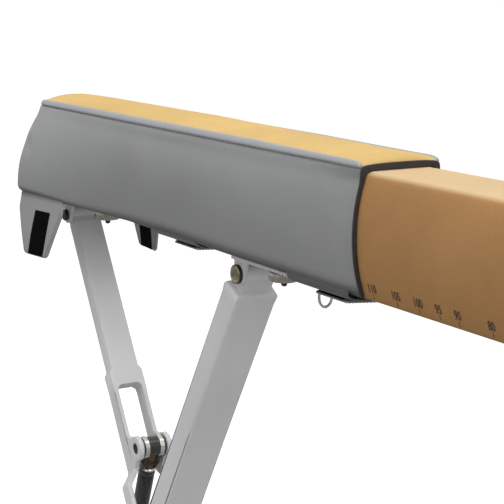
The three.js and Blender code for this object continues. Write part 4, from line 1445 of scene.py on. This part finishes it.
# radius, z
COLLAR = (
    (0.0, -39.0), (11.0, -39.0), (14.2, -40.2), (15.9, -41.6), (15.9, -43.4), (14.6, -44.6),
    (0.0, -44.6),
)
BARREL = (
    (0.0, -44.7), (13.2, -44.7), (14.3, -45.6), (14.3, -54.0), (13.6, -55.0), (13.9, -56.2),
    (14.0, -58.0), (14.0, -232.0), (13.4, -233.2), (13.4, -235.0), (14.0, -236.2),
    (13.9, -240.0), (12.6, -242.6), (5.5, -243.0), (5.5, -87.0), (0.0, -87.0),
)


def tube(start, end, bore, radius, chamfer):
    """Profile of a tube with its outer edges chamfered."""
    return [
        (bore, start), (radius - chamfer, start), (radius, start + chamfer),
        (radius, end - chamfer), (radius - chamfer, end), (bore, end),
    ]


def tapered_block(name, rows, place, material, body, bevel):
    """Four-sided block through rows of (z, half x, first y, second y)."""
    verts, faces = [], []
    for z, half, y0, y1 in rows:
        verts += [(-half, y0, z), (half, y0, z), (half, y1, z), (-half, y1, z)]
    last = len(verts) - 4
    for i in range(0, last, 4):
        for j in range(4):
            k = (j + 1) % 4
            faces.append((i + j, i + k, i + 4 + k, i + 4 + j))
    faces += [(0, 1, 2, 3), (last, last + 1, last + 2, last + 3)]
    verts = [tuple(place @ Vector(v)) for v in verts]
    round_edges(make(name, verts, faces, material, body), bevel)


def spring_pin(name, radius, half, place, body, cad_name):
    profile = [
        (0.0, -half + 1.2), (radius * 0.45, -half + 1.2), (radius * 0.55, -half),
        (radius - 0.9, -half), (radius, -half + 0.9),
    ]
    profile += [(r, -z) for r, z in profile[::-1]]
    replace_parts(turned(name, profile, 40, place @ ALONG_Y, "dark", body), cad_name)


def gas_spring(label, side):
    top = Vector((side * SPRING_TOP_X, 0, SPRING_TOP_Z))
    rise = SPRING_TOP_Z - SPRING_FOOT_Z
    run = side * (SPRING_TOP_X - SPRING_FOOT_X)
    length = math.hypot(run, rise)
    up = Vector((run / length, 0, rise / length))
    across = Vector((0, 1, 0)).cross(up)
    place = Matrix((
        (across.x, 0, up.x, top.x), (0, 1, 0, 0), (across.z, 0, up.z, top.z), (0, 0, 0, 1)))

    # upper end, riding on the cylinder
    body = f"spring_cylinder_{label}"
    crosswise = place @ ALONG_Y
    bush = tube(-BUSH_HALF, BUSH_HALF, bore=9.3, radius=16.8, chamfer=1.2)
    turned(f"spring_bush_{label}", bush, 48, crosswise, "lacquer", body)
    for tag, start in (("front", -BUSH_HALF + 4), ("rear", BUSH_HALF - 12)):
        sleeve = tube(start, start + 8, bore=16.0, radius=18.4, chamfer=0.8)
        turned(f"spring_sleeve_{tag}_{label}", sleeve, 48, crosswise, "chrome", body)
    yoke = [(z, half, -depth, depth) for z, half, depth in YOKE]
    tapered_block(f"spring_yoke_{label}", yoke, place, "bronze", body, bevel=1.6)
    for tag, sign in FRONT_REAR.items():
        cheek = [(z, half, sign * CHEEK_INNER, sign * outer) for z, half, outer in CHEEK]
        name = f"spring_cheek_{tag}_{label}"
        tapered_block(name, cheek, place, "lacquer", body, bevel=1.8)
    turned(f"spring_collar_{label}", COLLAR, 48, place, "chrome", body)
    barrel = turned(f"spring_barrel_{label}", BARREL, 56, place, "lacquer", body)
    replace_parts(barrel, body)

    # lower end, riding on the rod
    body = f"spring_rod_{label}"
    rod = [
        (0.0, -231.0), (4.4, -231.0), (5.0, -231.8), (5.0, -length + 22.0), (0.0, -length + 22.0)]
    turned(f"spring_piston_rod_{label}", rod, 40, place, "chrome", body)
    nut = [
        (0.0, -length + 21.9), (6.6, -length + 21.9), (8.0, -length + 20.6),
        (8.0, -length + 9.5), (6.5, -length + 8.0), (0.0, -length + 8.0),
    ]
    name = f"spring_rod_nut_{label}"
    rod_nut = turned(name, nut, 6, place, "zinc", body, smoothed=False)
    round_edges(rod_nut, 0.5, segments=2)
    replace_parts(rod_nut, body)
    foot = place @ Matrix.Translation((0, 0, -length))
    eye = tube(-13.6, 13.6, bore=6.3, radius=11.6, chamfer=1.4)
    turned(f"spring_rod_eye_{label}", eye, 44, foot @ ALONG_Y, "zinc", body)

    spring_pin(
        f"spring_pin_upper_turned_{label}", radius=9.0, half=29.6, place=place,
        body=f"fork_leg_{label}", cad_name=f"pin_spring_upper_{label}",
    )
    spring_pin(
        f"spring_pin_lower_turned_{label}", radius=6.0, half=13.8, place=foot,
        body=body, cad_name=f"pin_spring_lower_{label}",
    )


for label, side in LEFT_RIGHT.items():
    bracket = f"slide_bracket_{label}"
    pin = pivot_pin(
        f"pivot_pin_fixed_{label}", "beam", side * FIXED_X, head=10.0, tail=10.0, material="dark")
    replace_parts(pin, f"pin_fixed_{label}")
    pin = pivot_pin(f"pivot_pin_slide_{label}", bracket, side * SLIDE_X)
    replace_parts(pin, f"pin_slide_{label}")
    head_washer(f"pivot_washer_slide_{label}", bracket, side * SLIDE_X)
    pin = pivot_pin(
        f"pivot_pin_cross_{label}", f"fork_leg_{label}", side * CROSS_X, CROSS_Z,
        head=17.0, radius=10.0, face=48.3, tail=17.0, tail_thick=6.0,
    )
    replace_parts(pin, f"pin_cross_{label}")
    for kind, knob_x, drop in (("fixed", FIXED_X - 106, 0.0), ("slide", SLIDE_X - 76, 4.5)):
        body = f"knob_{kind}_{label}"
        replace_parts(clamp_knob(f"clamp_knob_{kind}_{label}", body, side * knob_x, drop), body)
    body = f"ring_{label}"
    ring_x = side * (SLIDE_X - BRACKET_END - RING_BEYOND)
    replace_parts(wire_ring(f"wire_ring_{label}", body, ring_x), body)
    gas_spring(label, side)


# ---------------------------------------------------------------------------
# stage, light, camera; metres from here on
# ---------------------------------------------------------------------------
def floor_material():
    """Near white to the camera, mid grey to the light it bounces."""
    m = Surface("pale_floor")
    seen = m.node("ShaderNodeLightPath")["Is Camera Ray"]
    clouds = m.noise(scale=0.8, span=(0.3, 0.7))
    pale = m.mix(clouds, (0.91, 0.91, 0.91), (0.93, 0.93, 0.93))
    m.set(
        Base_Color=m.mix(seen, (0.35, 0.35, 0.35), pale), Roughness=0.9,
        Specular_IOR_Level=0.05, Emission_Color=(1, 1, 1, 1),
        Emission_Strength=m.multiply(seen, 0.24),
    )
    return m.material


FLOOR_HALF = 160.0
floor_mesh = bpy.data.meshes.new("floor")
floor_corners = [(x * FLOOR_HALF, y * FLOOR_HALF, 0) for x, y in ((-1, -1), (1, -1), (1, 1), (-1, 1))]
floor_mesh.from_pydata(floor_corners, [], [(0, 1, 2, 3)])
floor_mesh.materials.append(floor_material())
floor = bpy.data.objects.new("floor", floor_mesh)
scene.collection.objects.link(floor)

# the world is full white to the camera and a little dimmer as a light
world = bpy.data.worlds.new("studio")
world.use_nodes = True
background = world.node_tree.nodes["Background"]
background.inputs["Color"].default_value = (1, 1, 1, 1)
light_path = add_node(world.node_tree, "ShaderNodeLightPath")
strength = add_node(world.node_tree, "ShaderNodeMapRange", {
    "To Min": 0.8, "To Max": 1.0, "Value": light_path.outputs["Is Camera Ray"],
})
feed(world.node_tree, background.inputs["Strength"], strength.outputs["Result"])
scene.world = world


def add_light(name, kind, location, direction, **settings):
    light = bpy.data.lights.new(name, kind)
    for key, value in settings.items():
        setattr(light, key, value)
    o = bpy.data.objects.new(name, light)
    scene.collection.objects.link(o)
    o.location = location
    o.rotation_mode = "QUATERNION"
    o.rotation_quaternion = Vector(direction).to_track_quat("-Z", "Y")


def area_light(name, location, target, **settings):
    direction = Vector(target) - Vector(location)
    add_light(name, "AREA", location, direction, shape="RECTANGLE", **settings)


area_light(
    "key_above", location=(-1.2, -0.4, 4.6), target=(-1.6, 0, 1.1),
    size=5.0, size_y=3.0, energy=125,
)
area_light(
    "side_front", location=(-1.0, -4.6, 2.6), target=(-1.6, 0, 1.0),
    size=4.0, size_y=2.0, energy=10,
)
add_light(
    "side_right", "SUN", location=(6.0, -0.8, 2.4), direction=(-0.97, 0.10, -0.18),
    energy=0.80, angle=0.7,
)

camera_data = bpy.data.cameras.new("camera")
camera_data.sensor_width = 36.0
camera_data.lens = 109.4142857
camera_data.clip_start = 0.05
camera_data.clip_end = 500.0
camera = bpy.data.objects.new("camera", camera_data)
scene.collection.objects.link(camera)
camera.location = (0.0288, -1.0954, 1.4944)
camera.rotation_euler = (math.radians(90 - 10.533), 0, math.radians(60.0))
scene.camera = camera
scene.view_settings.view_transform = "Standard"
